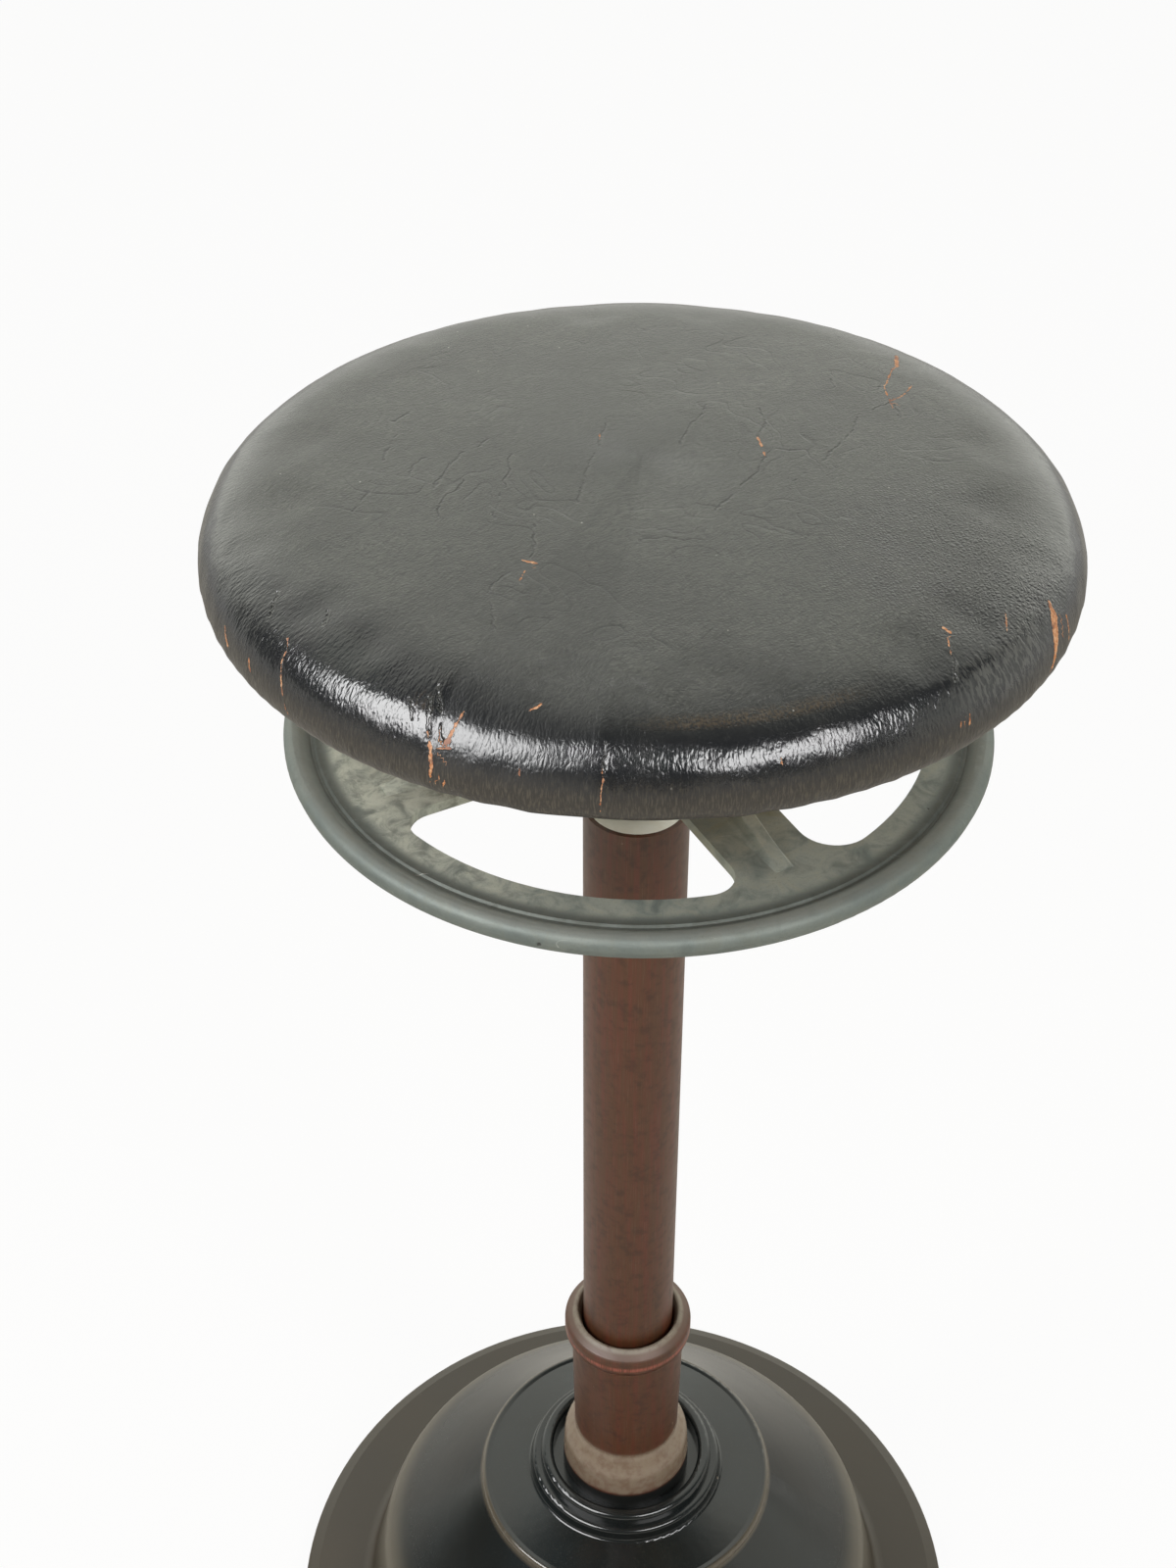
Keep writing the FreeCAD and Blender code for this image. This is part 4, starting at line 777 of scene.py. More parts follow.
def leather():
    """Worn black leather: a matt grey-green top, a glossy shoulder and a brown, fibrous lower side."""
    tint = tints()
    f = Finish("black_leather", IOR=1.65)
    reach = f.painted("reach")
    around = f.azimuth * 165.0
    flow = f.join(around, reach, 0.0)
    broad = f.cloud(60.0, detail=3.0)
    patchy = f.cloud(16.0, detail=4.0, rough=0.6)
    fine = f.cloud(0.9, detail=3.0, rough=0.65)
    glossy = f.near(*GLOSSY_PLACE).rise(1.0, 0.1) * 13.0
    edge = reach + (broad - 0.5) * 5.0 + (patchy - 0.5) * 4.0
    worn = (edge + glossy).rise(162.0, 132.0)
    low = (reach + (fine - 0.5) * 9.0 + (patchy - 0.5) * 3.0).rise(167.0, 181.0)
    right = f.near(*BRUISED_PLACE).rise(1.0, 0.35)

    aslant = {"Vector": f.warped(f.place, 22.0, 7.0), "Angle": math.radians(-38.0)}
    lean = f.node("VectorRotate", {"rotation_type": "Z_AXIS"}, aslant)
    fibres = f.cloud(1.0, f.stretch(lean, 3.6, 0.9, 1.2), detail=4.0, rough=0.7)
    streaks = f.cloud(1.0, f.stretch(f.warped(flow, 7.0, 0.9), 1.4, 5.0, 1.0), detail=2.0, rough=0.5)
    pebble = f.cells(1.0, f.stretch(f.warped(flow, 5.0, 1.0), 2.3, 1.5, 1.0)).rise(0.0, 0.40)
    wrinkle = f.cells(1.0, f.stretch(f.warped(flow, 6.0, 1.2), 1.7, 3.4, 1.0)).rise(0.0, 0.35)
    lined = f.cloud(34.0, f.warped(f.place, 12.0, 2.4), detail=1.0, warp=0.5)
    step = (lined * 8.0).maths("FRACT")
    worked = f.cloud(48.0, detail=2.0).rise(0.46, 0.60) * edge.rise(132.0, 108.0)
    arc_crease_shade = step.rise(0.17, 0.03) * step.rise(0.0, 0.03) * worked

    dust = f.specks(11.0).rise(0.040, 0.020) * f.cloud(30.0).rise(0.46, 0.60)
    pits = f.specks(37.0).rise(0.026, 0.016) * worn

    ragged = (f.specks(1.6, f.warped(f.place, 2.0, 0.8)) - 0.5) * 0.9
    ragged = ragged + (f.cloud(3.2, detail=4.0, rough=0.7) - 0.5) * 1.6
    crack = f.painted("split").maths("ABSOLUTE") + ragged
    open_half = f.painted("split_half") * 0.74
    bare = (open_half - crack).rise(-0.04, 0.10) * open_half.rise(-0.5, 0.05)
    frayed_shade = (open_half - crack).rise(-0.8, -0.05) * open_half.rise(-0.7, 0.0)
    fold = f.painted("crease") + (f.cloud(7.0, detail=3.0, rough=0.65) - 0.5) * 5.0
    fold_half = f.painted("crease_half")
    kept = fold_half.rise(-0.8, 0.2) * f.cloud(9.0, detail=2.0).rise(0.36, 0.50)
    # Painted shade and highlight: a dark line is painted down each crease and a light one on the lifted
    # leather beside it; both masks also shape the bump.
    creased_shade = fold.band(-0.42, 0.42, 0.25) * kept
    lifted_highlight = fold.band(0.60, 1.20, 0.40) * kept

    top = f.mix(right * 0.9, tint.worn_leather, tint.bruised_leather)
    top = f.mix(patchy.rise(0.36, 0.70) * 0.75, top, (0.082, 0.084, 0.070))
    top = f.mix(broad.rise(0.55, 0.38) * 0.60, top, (0.018, 0.019, 0.016))
    top = f.mix(fibres.rise(0.62, 0.36) * 0.80, top, (0.006, 0.006, 0.005))
    top = f.mix((1.0 - pebble) * (right * 0.45 + 0.30), top, (0.008, 0.008, 0.007))
    hairs = f.cloud(1.0, f.stretch(f.warped(flow, 5.0, 0.6), 0.55, 4.5, 1.0), detail=3.0, rough=0.6)
    side = f.mix(hairs.rise(0.46, 0.66), tint.brown_leather, (0.056, 0.046, 0.030))
    rim = f.mix(patchy.rise(0.45, 0.75) * 0.25, tint.black_leather, (0.030, 0.028, 0.026))
    strip = reach.band(146.5, 151.5, 1.8) * f.sector(3.0, 27.0, 6.0)
    rub = f.near(*RUBBED_PLACE).rise(1.0, 0.3) * streaks.rise(0.48, 0.60)
    rim = f.mix((strip + rub).least(1.0) * fine.rise(0.40, 0.60) * 0.7, rim, (0.120, 0.078, 0.040))
    # Painted reflection: the right shoulder's vertical wrinkles are painted lighter grey here, standing in
    # for a broad grey reflection, and the brown lower side is held back under them.
    pulled_sheen = f.sector(42.0, 60.0, 5.0) * reach.band(154.0, 178.0, 6.0)
    rim = f.mix(pulled_sheen * streaks.rise(0.44, 0.58) * 0.7, rim, (0.085, 0.085, 0.078))
    hide = f.mix(low * (1.0 - pulled_sheen * 0.7), f.mix(worn, rim, top), side)
    hem_line = reach.rise(188.0, 190.0) * fine.rise(0.30, 0.60)
    hem_line = hem_line * f.azimuth.rise(math.radians(-20.0), math.radians(-32.0))
    hide = f.mix(hem_line * 0.7, hide, (0.36, 0.29, 0.21))
    hide = f.mix(dust * 0.8, hide, (0.42, 0.41, 0.37))
    hide = f.mix(pits, hide, (0.004, 0.004, 0.004))
    # Painted shade down the creases.
    hide = f.mix(creased_shade * 0.80, hide, (0.005, 0.005, 0.004))
    # Painted shade down the fine arcs of creases over the worked top.
    hide = f.mix(arc_crease_shade * 0.55, hide, (0.006, 0.006, 0.005))
    # Painted highlight on the leather lifted beside the creases.
    hide = f.mix(lifted_highlight * 0.16, hide, (0.130, 0.130, 0.112))
    # Painted shade: a dark rim round each split, just outside its bare hide.
    hide = f.mix(frayed_shade * 0.35, hide, (0.012, 0.009, 0.007))
    torn = f.mix(f.cloud(1.3, detail=4.0, rough=0.7).rise(0.44, 0.62), tint.tan_hide, tint.pale_hide)
    torn = f.mix(f.cloud(4.0, detail=3.0).rise(0.50, 0.34) * 0.8, torn, (0.17, 0.045, 0.016))
    shade = f.mix(bare, hide, torn)

    matt = f.sector(-24.5, -4.5, 1.0)
    rough = worn * 0.23 + matt * 0.07 + 0.21 + (patchy - 0.5) * 0.10
    rough = rough + low * 0.20 + bare * 0.35 - right * worn * 0.04
    kept_gloss = 1.0 - worn
    height = fibres * worn * (0.42 - right * 0.28) + pebble * (worn * 0.11 + right * 0.15)
    height = height + streaks * kept_gloss * 0.21 + wrinkle * kept_gloss * 0.045
    height = height + fine * (worn * 0.07 + 0.01) + patchy * (worn * 0.42 + 0.03)
    height = height + step.rise(0.0, 0.3) * worked * 0.12 + lifted_highlight * 0.10 + frayed_shade * 0.05
    height = height - creased_shade * 0.50 - arc_crease_shade * 0.16 - bare * 0.30 - pits * 0.2
    return f.surface(shade, rough, height)


class STOOL_OT_cover(bpy.types.Operator):
    """Sews the padded leather cover over the seat board"""

    bl_idname = "stool.cover"
    bl_label = "Leather cover"

    def execute(self, context):
        sizes = context.scene.stool_cover
        section = cover_section(sizes.radius, sizes.fullness, sizes.slack) + [(0.0, COVER_LOW.z)]
        cover = turned("padded_cover", section, 128)
        modify(cover, "REMESH", mode="VOXEL", voxel_size=sizes.cell)
        stuff(cover)
        modify(cover, "SUBSURF", levels=2, render_levels=2)
        settle(cover)
        hollow(cover)
        mark(cover)
        smooth(cover, 40)
        dress(cover, "seat", "black_leather", leather(), "leather_cover", "seat_pad")
        return {"FINISHED"}


# The spindle and the flange screws.


def steel(name="machined_steel", rough=0.34):
    """Turned steel with fine rings, oil stains and a little rust."""
    tint = tints()
    f = Finish(name, Metallic=1.0)
    rings = f.cloud(1.0, f.join(f.radius / 0.35, 0.0, f.z / 0.35), detail=2.0)
    stain = f.cloud(9.0, detail=5.0, rough=0.65)
    spots = f.cloud(2.2, detail=4.0, rough=0.7).rise(0.62, 0.74)
    base = f.mix(stain.rise(0.40, 0.72) * 0.6, tint.steel, (0.16, 0.14, 0.12))
    base = f.mix(spots * 0.5, base, (0.11, 0.055, 0.03))
    rough = rings * 0.12 + rough - 0.06 + stain * 0.12 + spots * 0.25
    return f.surface(base, rough, rings * 0.01 + stain * 0.03)


class STOOL_OT_spindle(bpy.types.Operator):
    """Cuts the screw thread of the spindle and turns its collar and pivot"""

    bl_idname = "stool.spindle"
    bl_label = "Threaded spindle"

    def execute(self, context):
        sizes = context.scene.stool_thread
        hub = WHEEL_LOW.z - sizes.hub_gap
        spindle = turned("threaded_spindle", self.section(hub), 64)

        root = sizes.shank_radius - sizes.depth
        start = SPINDLE_LOW.z - sizes.pitch
        top = hub - sizes.runout
        rises = int((top - start) / sizes.pitch)
        inner = root - 0.6 * MM
        foot, brow, crest = 0.62, 0.46, 0.16
        tooth = [(inner, 0.0), (inner, foot), (root, foot), (sizes.shank_radius, brow)]
        tooth += [(sizes.shank_radius, crest), (root, 0.0), (inner, 0.0)]
        thread = draw("thread", [(r, start + turns * sizes.pitch) for r, turns in tooth])
        bpy.ops.mesh.select_all(action="SELECT")
        bpy.ops.mesh.remove_doubles(threshold=0.01 * MM)
        bpy.ops.mesh.select_all(action="SELECT")
        bpy.ops.mesh.edge_face_add()
        bpy.ops.object.mode_set(mode="OBJECT")
        screw = {"screw_offset": sizes.pitch, "iterations": rises, "steps": 48, "render_steps": 48}
        modify(thread, "SCREW", use_merge_vertices=False, **screw)
        self.close(thread)
        gauge = self.gauge(SPINDLE_LOW.z, top)
        modify(thread, "BOOLEAN", operation="INTERSECT", object=gauge, solver="EXACT")
        bpy.data.objects.remove(gauge)
        modify(spindle, "BOOLEAN", operation="UNION", object=thread, solver="EXACT")
        bpy.data.objects.remove(thread)
        smooth(spindle, 30)
        dress(spindle, "spindle", "machined_steel", steel(), "spindle")
        return {"FINISHED"}

    def section(self, hub):
        """Half outline of the spindle from its foot, through root, shank, collar and journal, to its end."""
        sizes = bpy.context.scene.stool_thread
        c = sizes.chamfer
        root, shank, collar = sizes.shank_radius - sizes.depth, sizes.shank_radius, sizes.collar_radius
        journal, end = sizes.journal_radius, sizes.end_radius
        foot, top = SPINDLE_LOW.z, SPINDLE_HIGH.z
        low = WHEEL_HIGH.z
        high = low + sizes.collar_height
        step = PLATE_HIGH.z - sizes.journal_drop
        section = [(0, foot), (root - c, foot), (root, foot + c), (root, hub - 2 * MM), (shank, hub)]
        section += [(shank, low), (collar - c, low), (collar, low + c)]
        section += [(collar, high - c), (collar - c, high), (journal, high), (journal, step)]
        return section + [(end, step), (end, top - c), (end - c, top), (0, top)]

    def close(self, thread):
        """Leaves the thread's ribbon as one closed body."""
        hold(thread)
        bpy.ops.object.mode_set(mode="EDIT")
        bpy.ops.mesh.select_mode(type="EDGE")
        bpy.ops.mesh.select_non_manifold(extend=False)
        bpy.ops.mesh.edge_face_add()
        bpy.ops.mesh.select_all(action="SELECT")
        bpy.ops.mesh.normals_make_consistent(inside=False)
        bpy.ops.object.mode_set(mode="OBJECT")

    def gauge(self, low, high):
        """A plain cylinder between two heights, which ends the thread square."""
        rest()
        middle = (0, 0, (low + high) / 2)
        bpy.ops.mesh.primitive_cylinder_add(vertices=48, radius=12 * MM, depth=high - low, location=middle)
        made = bpy.context.object
        made.name = "thread_gauge"
        bpy.ops.object.transform_apply(location=True)
        return made


class STOOL_OT_screws(bpy.types.Operator):
    """Makes the slotted wood screws that hold the flange to the board"""

    bl_idname = "stool.screws"
    bl_label = "Flange screws"

    def execute(self, context):
        sizes = context.scene.stool_screws
        low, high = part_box("flange_screws")
        head, shank = sizes.head_radius, sizes.shank_radius
        neck = low.z + head - shank
        face = low.z + 0.05 * MM
        section = [(0, face), (head - 0.4 * MM, face), (head, face + 0.3 * MM), (shank, neck)]
        section += [(shank, high.z - shank), (0, high.z)]
        screw = turned("flange_screw_1", section, 32)
        rest()
        slot_size = (head * 3, sizes.slot_width, sizes.slot_depth * 2)
        bpy.ops.mesh.primitive_cube_add(size=1.0, location=(0, 0, low.z), scale=slot_size)
        slot = bpy.context.object
        bpy.ops.object.transform_apply(location=True, scale=True)
        cut(screw, slot)
        made = [screw]
        for number in range(1, sizes.count):
            twin = screw.copy()
            twin.data = screw.data.copy()
            twin.name = f"flange_screw_{number + 1}"
            context.scene.collection.objects.link(twin)
            made.append(twin)
        finish = steel("screw_steel", rough=0.42)
        for number, each in enumerate(made):
            angle = sizes.first + math.tau * number / sizes.count
            spot = Vector((math.cos(angle), math.sin(angle), 0)) * sizes.circle
            driven = 0.9 + number * 1.3
            each.data.transform(Matrix.Translation(spot) @ Matrix.Rotation(driven, 4, "Z"))
            smooth(each, 30)
            stands_for = ["flange_screws"] if number == 0 else []
            dress(each, "seat", "machined_steel", finish, *stands_for)
        return {"FINISHED"}


# Finishes of the CAD nodes.

# Radii and heights, in millimetres, between which a finish changes.
BELL_PLATEAU = (78.0, 112.0)
BELL_RIDGE_HIGHLIGHT = (125.0, 135.0)
BELL_STEP = (75.0, 77.4)
BELL_STEP_CHIPS = (75.4, 77.2)
HUB_RING_CHIPS = (43.8, 45.4)
BELL_WORN = (112.0, 144.0)
SOCKET_LIP = (238.5, 241.5)
SOCKET_LOWER_LIP = (233.4, 235.6)
SOCKET_FOOT = (133.5, 158.5)
SOCKET_RECESS_SHADE = (134.0, 131.5)
WHEEL_SPOKES = (112.0, 84.0)
WHEEL_PLATE = (84.0, 125.0)
WHEEL_RIM = (122.0, 127.0)
WHEEL_GROOVE = (125.8, 131.4)
WHEEL_BEAD = (133.0, 138.5)


def enamel():
    """Black enamel on cast iron: glossy on the plateau, dull and brownish on the flange, with small chips and
    a painted highlight along the ridge.
    """
    tint = tints()
    f = Finish("black_enamel", IOR=1.55)
    broad = f.cloud(60.0, detail=3.0)
    ripple = f.cloud(16.0, detail=2.0)
    orange_peel = f.cloud(2.4, detail=2.0)
    worn = f.radius.rise(*BELL_WORN)
    ridge_highlight = f.radius.band(*BELL_RIDGE_HIGHLIGHT, 6.0)
    step = f.radius.band(*BELL_STEP, 0.9)
    base = f.mix(broad.rise(0.35, 0.75) * 0.6, tint.enamel, (0.012, 0.018, 0.021))
    base = f.mix(worn * (broad * 0.5 + 0.6), base, tint.faded_enamel)
    base = f.mix(step * 0.70, base, (0.135, 0.110, 0.078))
    # Painted highlight: a light tan band along the bell's rounded ridge, where the glossy enamel catches the
    # light.
    base = f.mix(ridge_highlight * (broad * 0.4 + 0.35), base, (0.170, 0.150, 0.112))
    place = f.warped(f.place, 3.0, 1.2)
    chips = f.specks(23.0, place).rise(0.046, 0.028) * f.cloud(55.0).rise(0.50, 0.60)
    rub = f.cloud(1.0, f.join(f.azimuth * 9.0, 0.0, f.radius / 40.0), detail=4.0)
    edges = f.radius.band(*BELL_STEP_CHIPS, 0.5) + f.radius.band(*HUB_RING_CHIPS, 0.5)
    edge_chips = edges * rub.rise(0.665, 0.70)
    bare = (chips + edge_chips).least(1.0)
    base = f.mix(bare * 0.8, base, tint.iron)
    dust = f.cloud(0.8, detail=3.0, rough=0.7).rise(0.58, 0.78) * broad
    base = f.mix(dust * 0.14, base, (0.30, 0.28, 0.24))
    rough = broad * 0.10 + 0.10 + bare * 0.4 + dust * 0.15
    rough = rough + f.radius.rise(*BELL_PLATEAU) * 0.10 + worn * 0.24
    height = ripple * 0.14 + orange_peel * 0.010 - bare * 0.12
    return f.surface(base, rough, height)


def lacquer(name, worn):
    """Mahogany brown lacquer over steel, with fine streaks up the column."""
    tint = tints()
    f = Finish(name, IOR=1.47)
    streak = f.cloud(1.0, f.join(f.azimuth * 9.0, f.z / 70.0, 0.0), detail=5.0, rough=0.6)
    fine = f.cloud(1.0, f.join(f.azimuth * 45.0, f.z / 24.0, 3.0), detail=3.0, rough=0.7)
    mottle = f.cloud(5.0, detail=4.0, rough=0.6)
    red = streak.rise(0.42, 0.66) * 0.55
    if worn:
        red = red.most(f.z.rise(175.0, 128.0) * streak.rise(0.30, 0.60))
    base = f.mix(red, tint.lacquer, tint.red_lacquer)
    base = f.mix(fine.rise(0.50, 0.78) * 0.45, base, (0.14, 0.085, 0.052))
    base = f.mix(mottle.rise(0.46, 0.70) * 0.50, base, (0.026, 0.012, 0.007))
    place = f.warped(f.place, 2.0, 1.0)
    chips = f.specks(17.0, place).rise(0.050, 0.034) * f.cloud(30.0).rise(0.55, 0.63)
    base = f.mix(chips * 0.85, base, (0.30, 0.23, 0.17))
    rough = mottle * 0.16 + 0.28 + fine * 0.08 + chips * 0.3
    height = mottle * 0.03 - chips * 0.10 + streak * 0.04
    if worn:
        lip = f.z.rise(*SOCKET_LIP)
        lower_lip = f.z.band(*SOCKET_LOWER_LIP, 0.9) * f.radius.rise(29.5, 31.0)
        inner = f.radius.rise(28.4, 27.0) * lip
        foot = (f.z + (mottle - 0.5) * 3.0).band(*SOCKET_FOOT, 2.0)
        sunk = f.z.rise(*SOCKET_RECESS_SHADE)
        base = f.mix(lip * 0.9, base, (0.125, 0.078, 0.056))
        base = f.mix(inner * mottle.rise(0.2, 0.6), base, (0.22, 0.185, 0.14))
        base = f.mix(lower_lip * fine.rise(0.35, 0.60), base, (0.30, 0.085, 0.055))
        # Rubbed lacquer and painted reflection: the foot dome is painted tan-grey, partly worn lacquer and
        # partly a painted reflection of light on its glossy curve.
        base = f.mix(foot * (mottle.rise(0.30, 0.60) * 0.35 + 0.65), base, tint.rubbed_lacquer_and_sheen)
        # Painted shade: the socket's lowest part, sunk in the base's hub, is painted in the black of the
        # enamel.
        base = f.mix(sunk, base, tint.enamel)
        rough = rough + lip * 0.10 - foot * 0.16
    return f.surface(base, rough, height)


def aluminium():
    """Sand-cast aluminium with a blue-green patina, pits, stains and scratches."""
    tint = tints()
    f = Finish("cast_aluminium")
    broad = f.cloud(34.0, detail=4.0, rough=0.6, warp=0.6)
    cloudy = f.cloud(9.0, detail=5.0, rough=0.65, warp=0.8)
    grain = f.cloud(0.9, detail=3.0, rough=0.7)
    spoke = f.radius.rise(*WHEEL_SPOKES)
    base = f.mix(broad.rise(0.38, 0.66) * 0.80, tint.aluminium, (0.115, 0.150, 0.145))
    base = f.mix((spoke * 0.6 + cloudy.rise(0.45, 0.72) * 0.5).least(1.0), base, tint.stained_aluminium)
    plate_and_left_light = f.radius.band(*WHEEL_PLATE, 4.0) * cloudy.rise(0.25, 0.70)
    # Lighter cloudy patches on the plate, with painted light: they grow much stronger towards its left side,
    # where it is lit.
    plate_and_left_light = plate_and_left_light * (f.x.rise(-10.0, -100.0) * 0.82 + 0.30)
    base = f.mix(plate_and_left_light, base, (0.50, 0.525, 0.45))
    base = f.mix(f.radius.rise(*WHEEL_RIM) * 0.66, base, (0.150, 0.172, 0.160))
    base = f.mix(cloudy.rise(0.55, 0.25) * 0.45, base, (0.105, 0.118, 0.105))
    base = f.mix(grain.rise(0.50, 0.80) * 0.35, base, (0.10, 0.11, 0.095))
    bead = f.radius.band(*WHEEL_BEAD, 1.4) * f.z.rise(612.0, 615.0)
    base = f.mix(bead * 0.25, base, (0.30, 0.31, 0.285))
    groove = f.radius.band(*WHEEL_GROOVE, 2.4)
    base = f.mix(groove * (cloudy.rise(0.30, 0.60) * 0.25 + 0.62), base, (0.060, 0.066, 0.056))
    place = f.warped(f.place, 2.4, 1.4)
    pits = f.specks(19.0, place).rise(0.060, 0.036) * f.cloud(26.0).rise(0.50, 0.58)
    tan = f.specks(60.0, place).rise(0.085, 0.03) * broad.rise(0.45, 0.60)
    scratch = f.cloud(1.0, f.stretch(f.warped(f.place, 30.0, 8.0), 22.0, 0.5, 22.0), detail=2.0)
    scratch = scratch.rise(0.70, 0.78)
    base = f.mix(pits * 0.8, base, (0.030, 0.028, 0.022))
    base = f.mix(tan * 0.7, base, (0.33, 0.27, 0.17))
    base = f.mix(scratch * 0.50, base, (0.48, 0.49, 0.45))
    rough = cloudy * 0.20 + 0.46 + pits * 0.2 + grain * 0.10
    height = cloudy * 0.16 + grain * 0.07 + broad * 0.3 - pits * 0.40 - scratch * 0.03
    return f.surface(base, rough, height, metal=0.35 - pits * 0.3)


def nickel():
    """Dull cream nickel with faint turning rings."""
    tint = tints()
    f = Finish("dull_nickel")
    rings = f.cloud(1.0, f.join(f.radius / 0.6, 0.0, 0.0), detail=2.0)
    stain = f.cloud(8.0, detail=4.0)
    base = f.mix(stain.rise(0.40, 0.70) * 0.5, tint.nickel, (0.80, 0.75, 0.62))
    return f.surface(base, rings * 0.08 + 0.46, rings * 0.01 + stain * 0.03, metal=0.0)


def brass(name="bearing_brass", rough=0.32):
    """Brass gone brown in its corners."""
    tint = tints()
    f = Finish(name, Metallic=1.0)
    stain = f.cloud(5.0, detail=5.0, rough=0.65)
    fine = f.cloud(0.7, detail=2.0)
    base = f.mix(stain.rise(0.38, 0.68) * 0.8, tint.brass, (0.17, 0.095, 0.04))
    return f.surface(base, stain * 0.25 + rough - 0.08, stain * 0.03 + fine * 0.012)


def beech():
    """Planed beech with long grain and small flecks."""
    tint = tints()
    f = Finish("beech_board", IOR=1.45)
    place = f.warped(f.stretch(f.place, 1.0, 9.0, 1.0), 30.0, 6.0)
    wave = {"Vector": place, "Scale": 0.03, "Distortion": 3.0, "Detail": 2.0}
    rings = f.node("TexWave", {"wave_type": "BANDS", "bands_direction": "X"}, wave, "Fac")
    pores = f.cloud(1.0, f.stretch(f.place, 0.5, 9.0, 0.5), detail=2.0)
    flecks = f.specks(1.0, f.stretch(f.place, 1.3, 4.5, 1.3)).rise(0.30, 0.18)
    base = f.mix(rings * 0.55, tint.beech, (0.30, 0.15, 0.07))
    base = f.mix(flecks * 0.45, base, (0.22, 0.10, 0.045))
    pores = pores.rise(0.60, 0.80)
    base = f.mix(pores * 0.5, base, (0.13, 0.06, 0.03))
    return f.surface(base, rings * 0.08 + 0.52, rings * 0.03 - pores * 0.08)


def cast_iron():
    """Black paint on a rough casting."""
    f = Finish("painted_casting", IOR=1.5)
    cast = f.cloud(1.8, detail=4.0, rough=0.65)
    patchy = f.cloud(14.0, detail=4.0)
    chips = f.cloud(4.0, detail=4.0, rough=0.7).rise(0.64, 0.72)
    base = f.mix(patchy.rise(0.35, 0.70) * 0.5, (0.016, 0.016, 0.015), (0.040, 0.036, 0.030))
    base = f.mix(chips * 0.6, base, (0.16, 0.11, 0.075))
    return f.surface(base, cast * 0.2 + 0.34 + chips * 0.2, cast * 0.14 - chips * 0.06)


class STOOL_OT_column_finish(bpy.types.Operator):
    """Enamels the base and lacquers the socket and tube"""

    bl_idname = "stool.column_finish"
    bl_label = "Base and column"

    def execute(self, context):
        paint(enamel(), "base_casting")
        paint(lacquer("socket_lacquer", True), "column_socket")
        paint(lacquer("tube_lacquer", False), "column_tube")
        paint(nickel(), "spindle_nut")
        inner = ("socket_washer", "socket_ring_nut", "socket_grub_screw", "nut_lock_pin")
        paint(steel("washer_steel", rough=0.40), *inner)
        return {"FINISHED"}


class STOOL_OT_wheel_finish(bpy.types.Operator):
    """Gives the handwheel its cast finish and the spindle's fittings theirs"""

    bl_idname = "stool.wheel_finish"
    bl_label = "Handwheel and fittings"

    def execute(self, context):
        paint(aluminium(), "handwheel")
        paint(steel("fitting_steel"), "handwheel_pin", "spindle_end_screw", "pivot_washer", "pivot_nut")
        paint(brass("guide_brass", 0.36), "guide_disc")
        return {"FINISHED"}


class STOOL_OT_seat_finish(bpy.types.Operator):
    """Finishes the bearing, the seat flange, the board and the tacks"""

    bl_idname = "stool.seat_finish"
    bl_label = "Bearing, flange and board"

    def execute(self, context):
        paint(steel("race_steel", rough=0.22), "lower_race", "upper_race", "thrust_balls")
        paint(brass(), "ball_cage", "pivot_bush")
        paint(brass("tack_brass", 0.30), "cover_tacks")
        paint(cast_iron(), "seat_flange")
        paint(beech(), "seat_board")
        return {"FINISHED"}


# The stage.


def floor_finish():
    """A pale floor that looks white to the camera and in reflections, and still takes the stool's shadow."""
    stage = bpy.context.scene.stool_stage
    f = Finish("floor", Roughness=0.9, Base_Color=stage.floor)
    glow = f.node("Emission", inputs={"Color": (1.0, 1.0, 1.0), "Strength": 1.0}, output="Emission")
    clear = f.node("LightPath", output="Is Transmission Ray")
    mirrored = f.node("LightPath", output="Is Glossy Ray").most(clear)
    far = f.radius.rise(1500.0, 6000.0) * 0.55
    seen = f.node("LightPath", output="Is Camera Ray").most(mirrored * (far + stage.mirror))
    plain = Wire(f, f.shader.outputs["BSDF"])
    both = f.node("MixShader", inputs=[seen * stage.glow, plain, glow], output="Shader")
    f.tree.links.new(both.socket, f.output.inputs["Surface"])
    return f.material


def sky():
    """A soft studio: a pale wall at the back, a paler horizon all round, dark overhead and in front.

    The camera sees plain white instead.
    """
    world = bpy.data.worlds.new("studio")
    bpy.context.scene.world = world
    world.use_nodes = True
    f = Nodes(world.node_tree)
    x, y, z = f.split(f.node("TexCoord", output="Generated"))
    level = (x * x + y * y).maths("SQRT").most(0.02)
    wall = (y / level).rise(0.22, 0.78) * z.rise(0.955, 0.84)
    wall = wall * (z.rise(0.62, 0.34) * 0.40 + 0.82)
    glow = wall * (bpy.context.scene.stool_stage.back - 0.08) + 0.08
    glow = glow.most((x / level).rise(0.80, 0.97) * z.rise(0.55, 0.35) * 0.90)
    glow = glow.most(z.maths("ABSOLUTE").rise(0.16, 0.02) * 0.65)
    studio = f.node("Background", inputs={"Color": (0.98, 0.99, 0.90), "Strength": glow})
    white = f.node("Background", inputs={"Color": (0.97, 0.97, 0.97), "Strength": 1.0})
    seen = f.node("LightPath", output="Is Camera Ray")
    both = f.node("MixShader", inputs=[seen, studio, white], output="Shader")
    output = f.tree.nodes.new("ShaderNodeOutputWorld")
    f.tree.links.new(both.socket, output.inputs["Surface"])


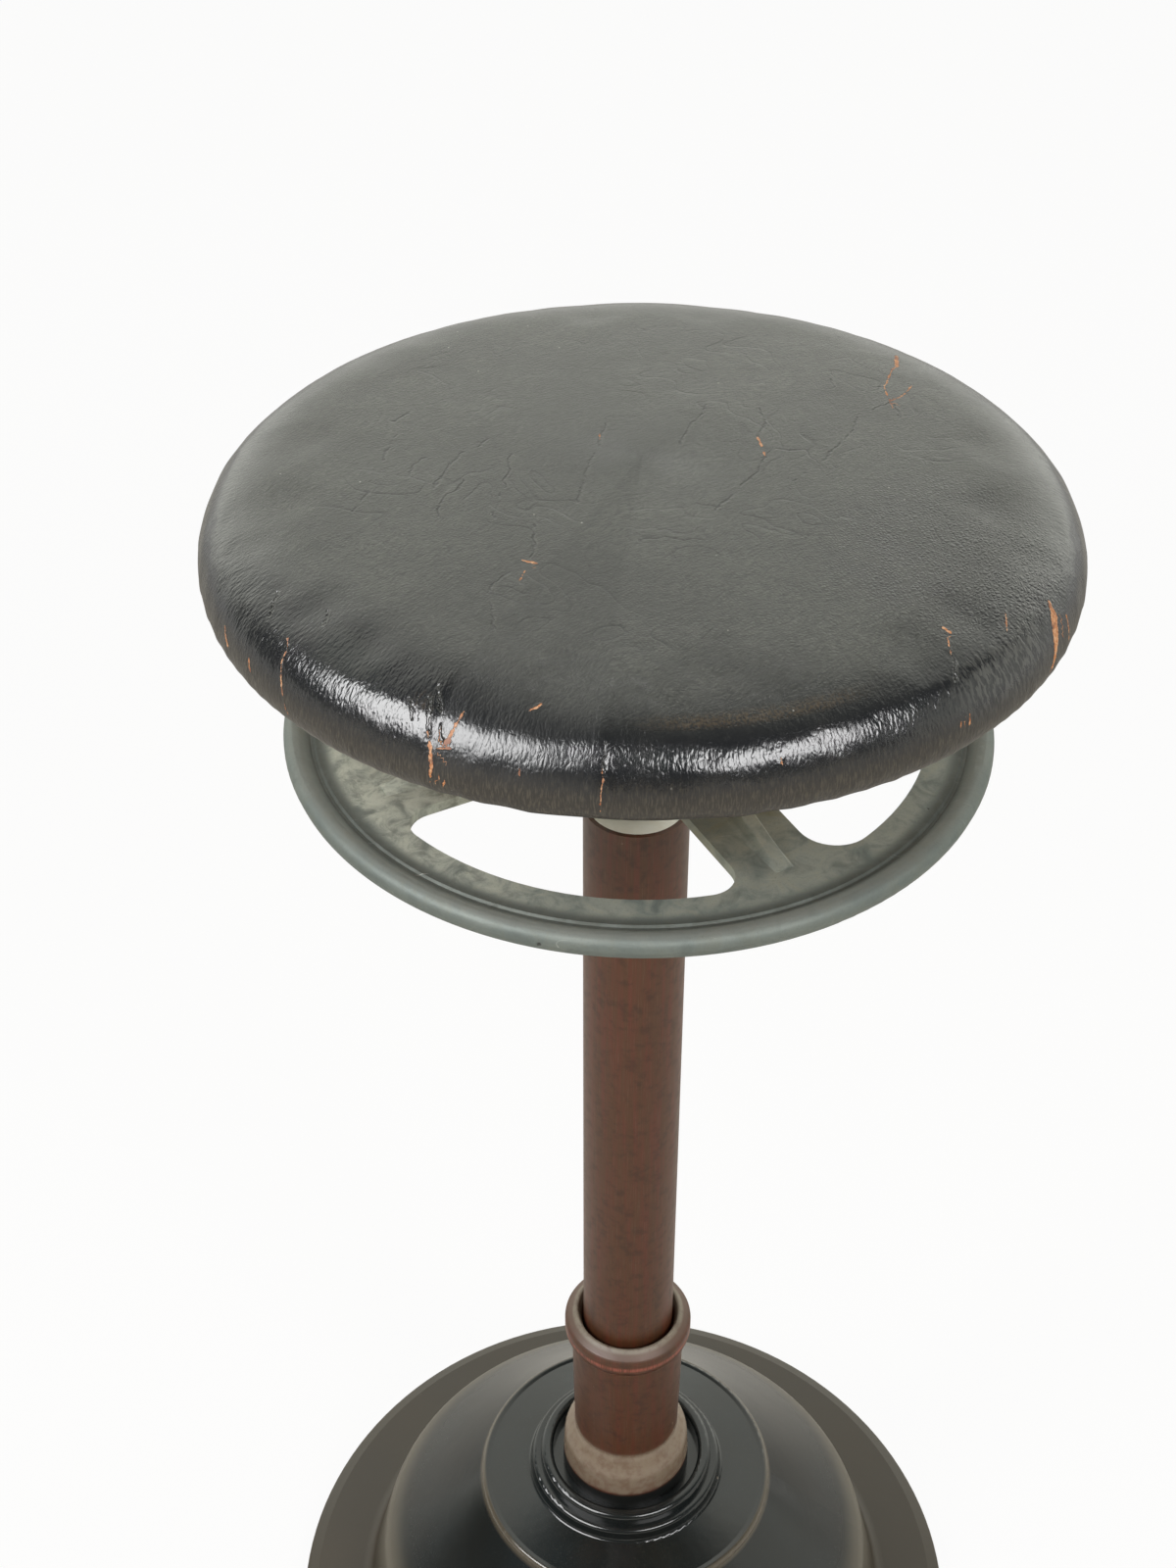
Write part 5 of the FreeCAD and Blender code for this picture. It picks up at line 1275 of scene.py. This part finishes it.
class STOOL_OT_stage(bpy.types.Operator):
    """Sets up the floor, the world, two lamps and the camera"""

    bl_idname = "stool.stage"
    bl_label = "Stage"

    def execute(self, context):
        stage = context.scene.stool_stage
        rest()
        bpy.ops.mesh.primitive_plane_add(size=stage.floor_size, location=(0, 0, 0))
        floor = context.object
        floor.name = "floor"
        floor.data.materials.append(floor_finish())
        sky()
        self.lamps("left", stage.left_lamp, -57.0, 41.0, 1.7, 1.30)
        self.lamps("right", stage.right_lamp, 37.0, 39.0, 1.3, 0.72)
        rest()
        bpy.ops.object.camera_add(location=(0, -stage.camera_distance, stage.camera_height))
        camera = context.object
        camera.name = "camera"
        camera.rotation_euler = Matrix((RIGHT, -DOWN, -AHEAD)).transposed().to_euler()
        camera.data.sensor_width = SENSOR
        camera.data.lens = stage.lens
        camera.data.shift_x = stage.shift
        camera.data.clip_end = 100.0
        context.scene.camera = camera
        context.scene.view_settings.view_transform = "Standard"
        rest()
        return {"FINISHED"}

    def lamps(self, side, power, azimuth, elevation, width, height):
        """A soft lamp, and before it the bright panel that only reflections see."""
        stage = bpy.context.scene.stool_stage
        behind = stage.lamp_distance * 1.2
        soft = self.lamp(side + "_lamp", power, azimuth, elevation - 12.0, behind, 0.8, 0.8)
        soft.visible_glossy = False
        bright = stage.shine * math.pi * width * height
        panel = self.lamp(side + "_panel", bright, azimuth, elevation, stage.lamp_distance, width, height)
        panel.visible_diffuse = False

    def lamp(self, name, power, azimuth, elevation, distance, width, height):
        """An area lamp in a direction from the seat, turned towards it."""
        a, e = math.radians(azimuth), math.radians(elevation)
        away = Vector((math.sin(a) * math.cos(e), -math.cos(a) * math.cos(e), math.sin(e)))
        seat = Vector((0, 0, COVER_HIGH.z))
        rest()
        bpy.ops.object.light_add(type="AREA", location=seat + away * distance)
        lamp = bpy.context.object
        lamp.name = name
        lamp.rotation_euler = (-away).to_track_quat("-Z", "Y").to_euler()
        lamp.data.shape = "RECTANGLE"
        lamp.data.size = width
        lamp.data.size_y = height
        lamp.data.energy = power
        return lamp


class STOOL_PT_build(bpy.types.Panel):
    """Lists the stool's pieces and the stage"""

    bl_label = "Dental stool"
    bl_space_type = "VIEW_3D"
    bl_region_type = "UI"
    bl_category = "Stool"

    def draw(self, context):
        for operator in OPERATORS:
            self.layout.operator(operator.bl_idname)
        for name, group in SETTINGS.items():
            box = self.layout.box()
            for field in group.__annotations__:
                box.prop(getattr(context.scene, name), field)


OPERATORS = (
    STOOL_OT_column_finish,
    STOOL_OT_wheel_finish,
    STOOL_OT_seat_finish,
    STOOL_OT_spindle,
    STOOL_OT_screws,
    STOOL_OT_cover,
    STOOL_OT_stage,
)
CLASSES = (*SETTINGS.values(), *OPERATORS, STOOL_PT_build)


def register():
    for each in CLASSES:
        bpy.utils.register_class(each)
    for name, group in SETTINGS.items():
        setattr(bpy.types.Scene, name, PointerProperty(type=group))


def unregister():
    for name in SETTINGS:
        delattr(bpy.types.Scene, name)
    for each in reversed(CLASSES):
        bpy.utils.unregister_class(each)


def main():
    register()
    for operator in OPERATORS:
        group, name = operator.bl_idname.split(".")
        getattr(getattr(bpy.ops, group), name)()


if __name__ == "__main__":
    main()
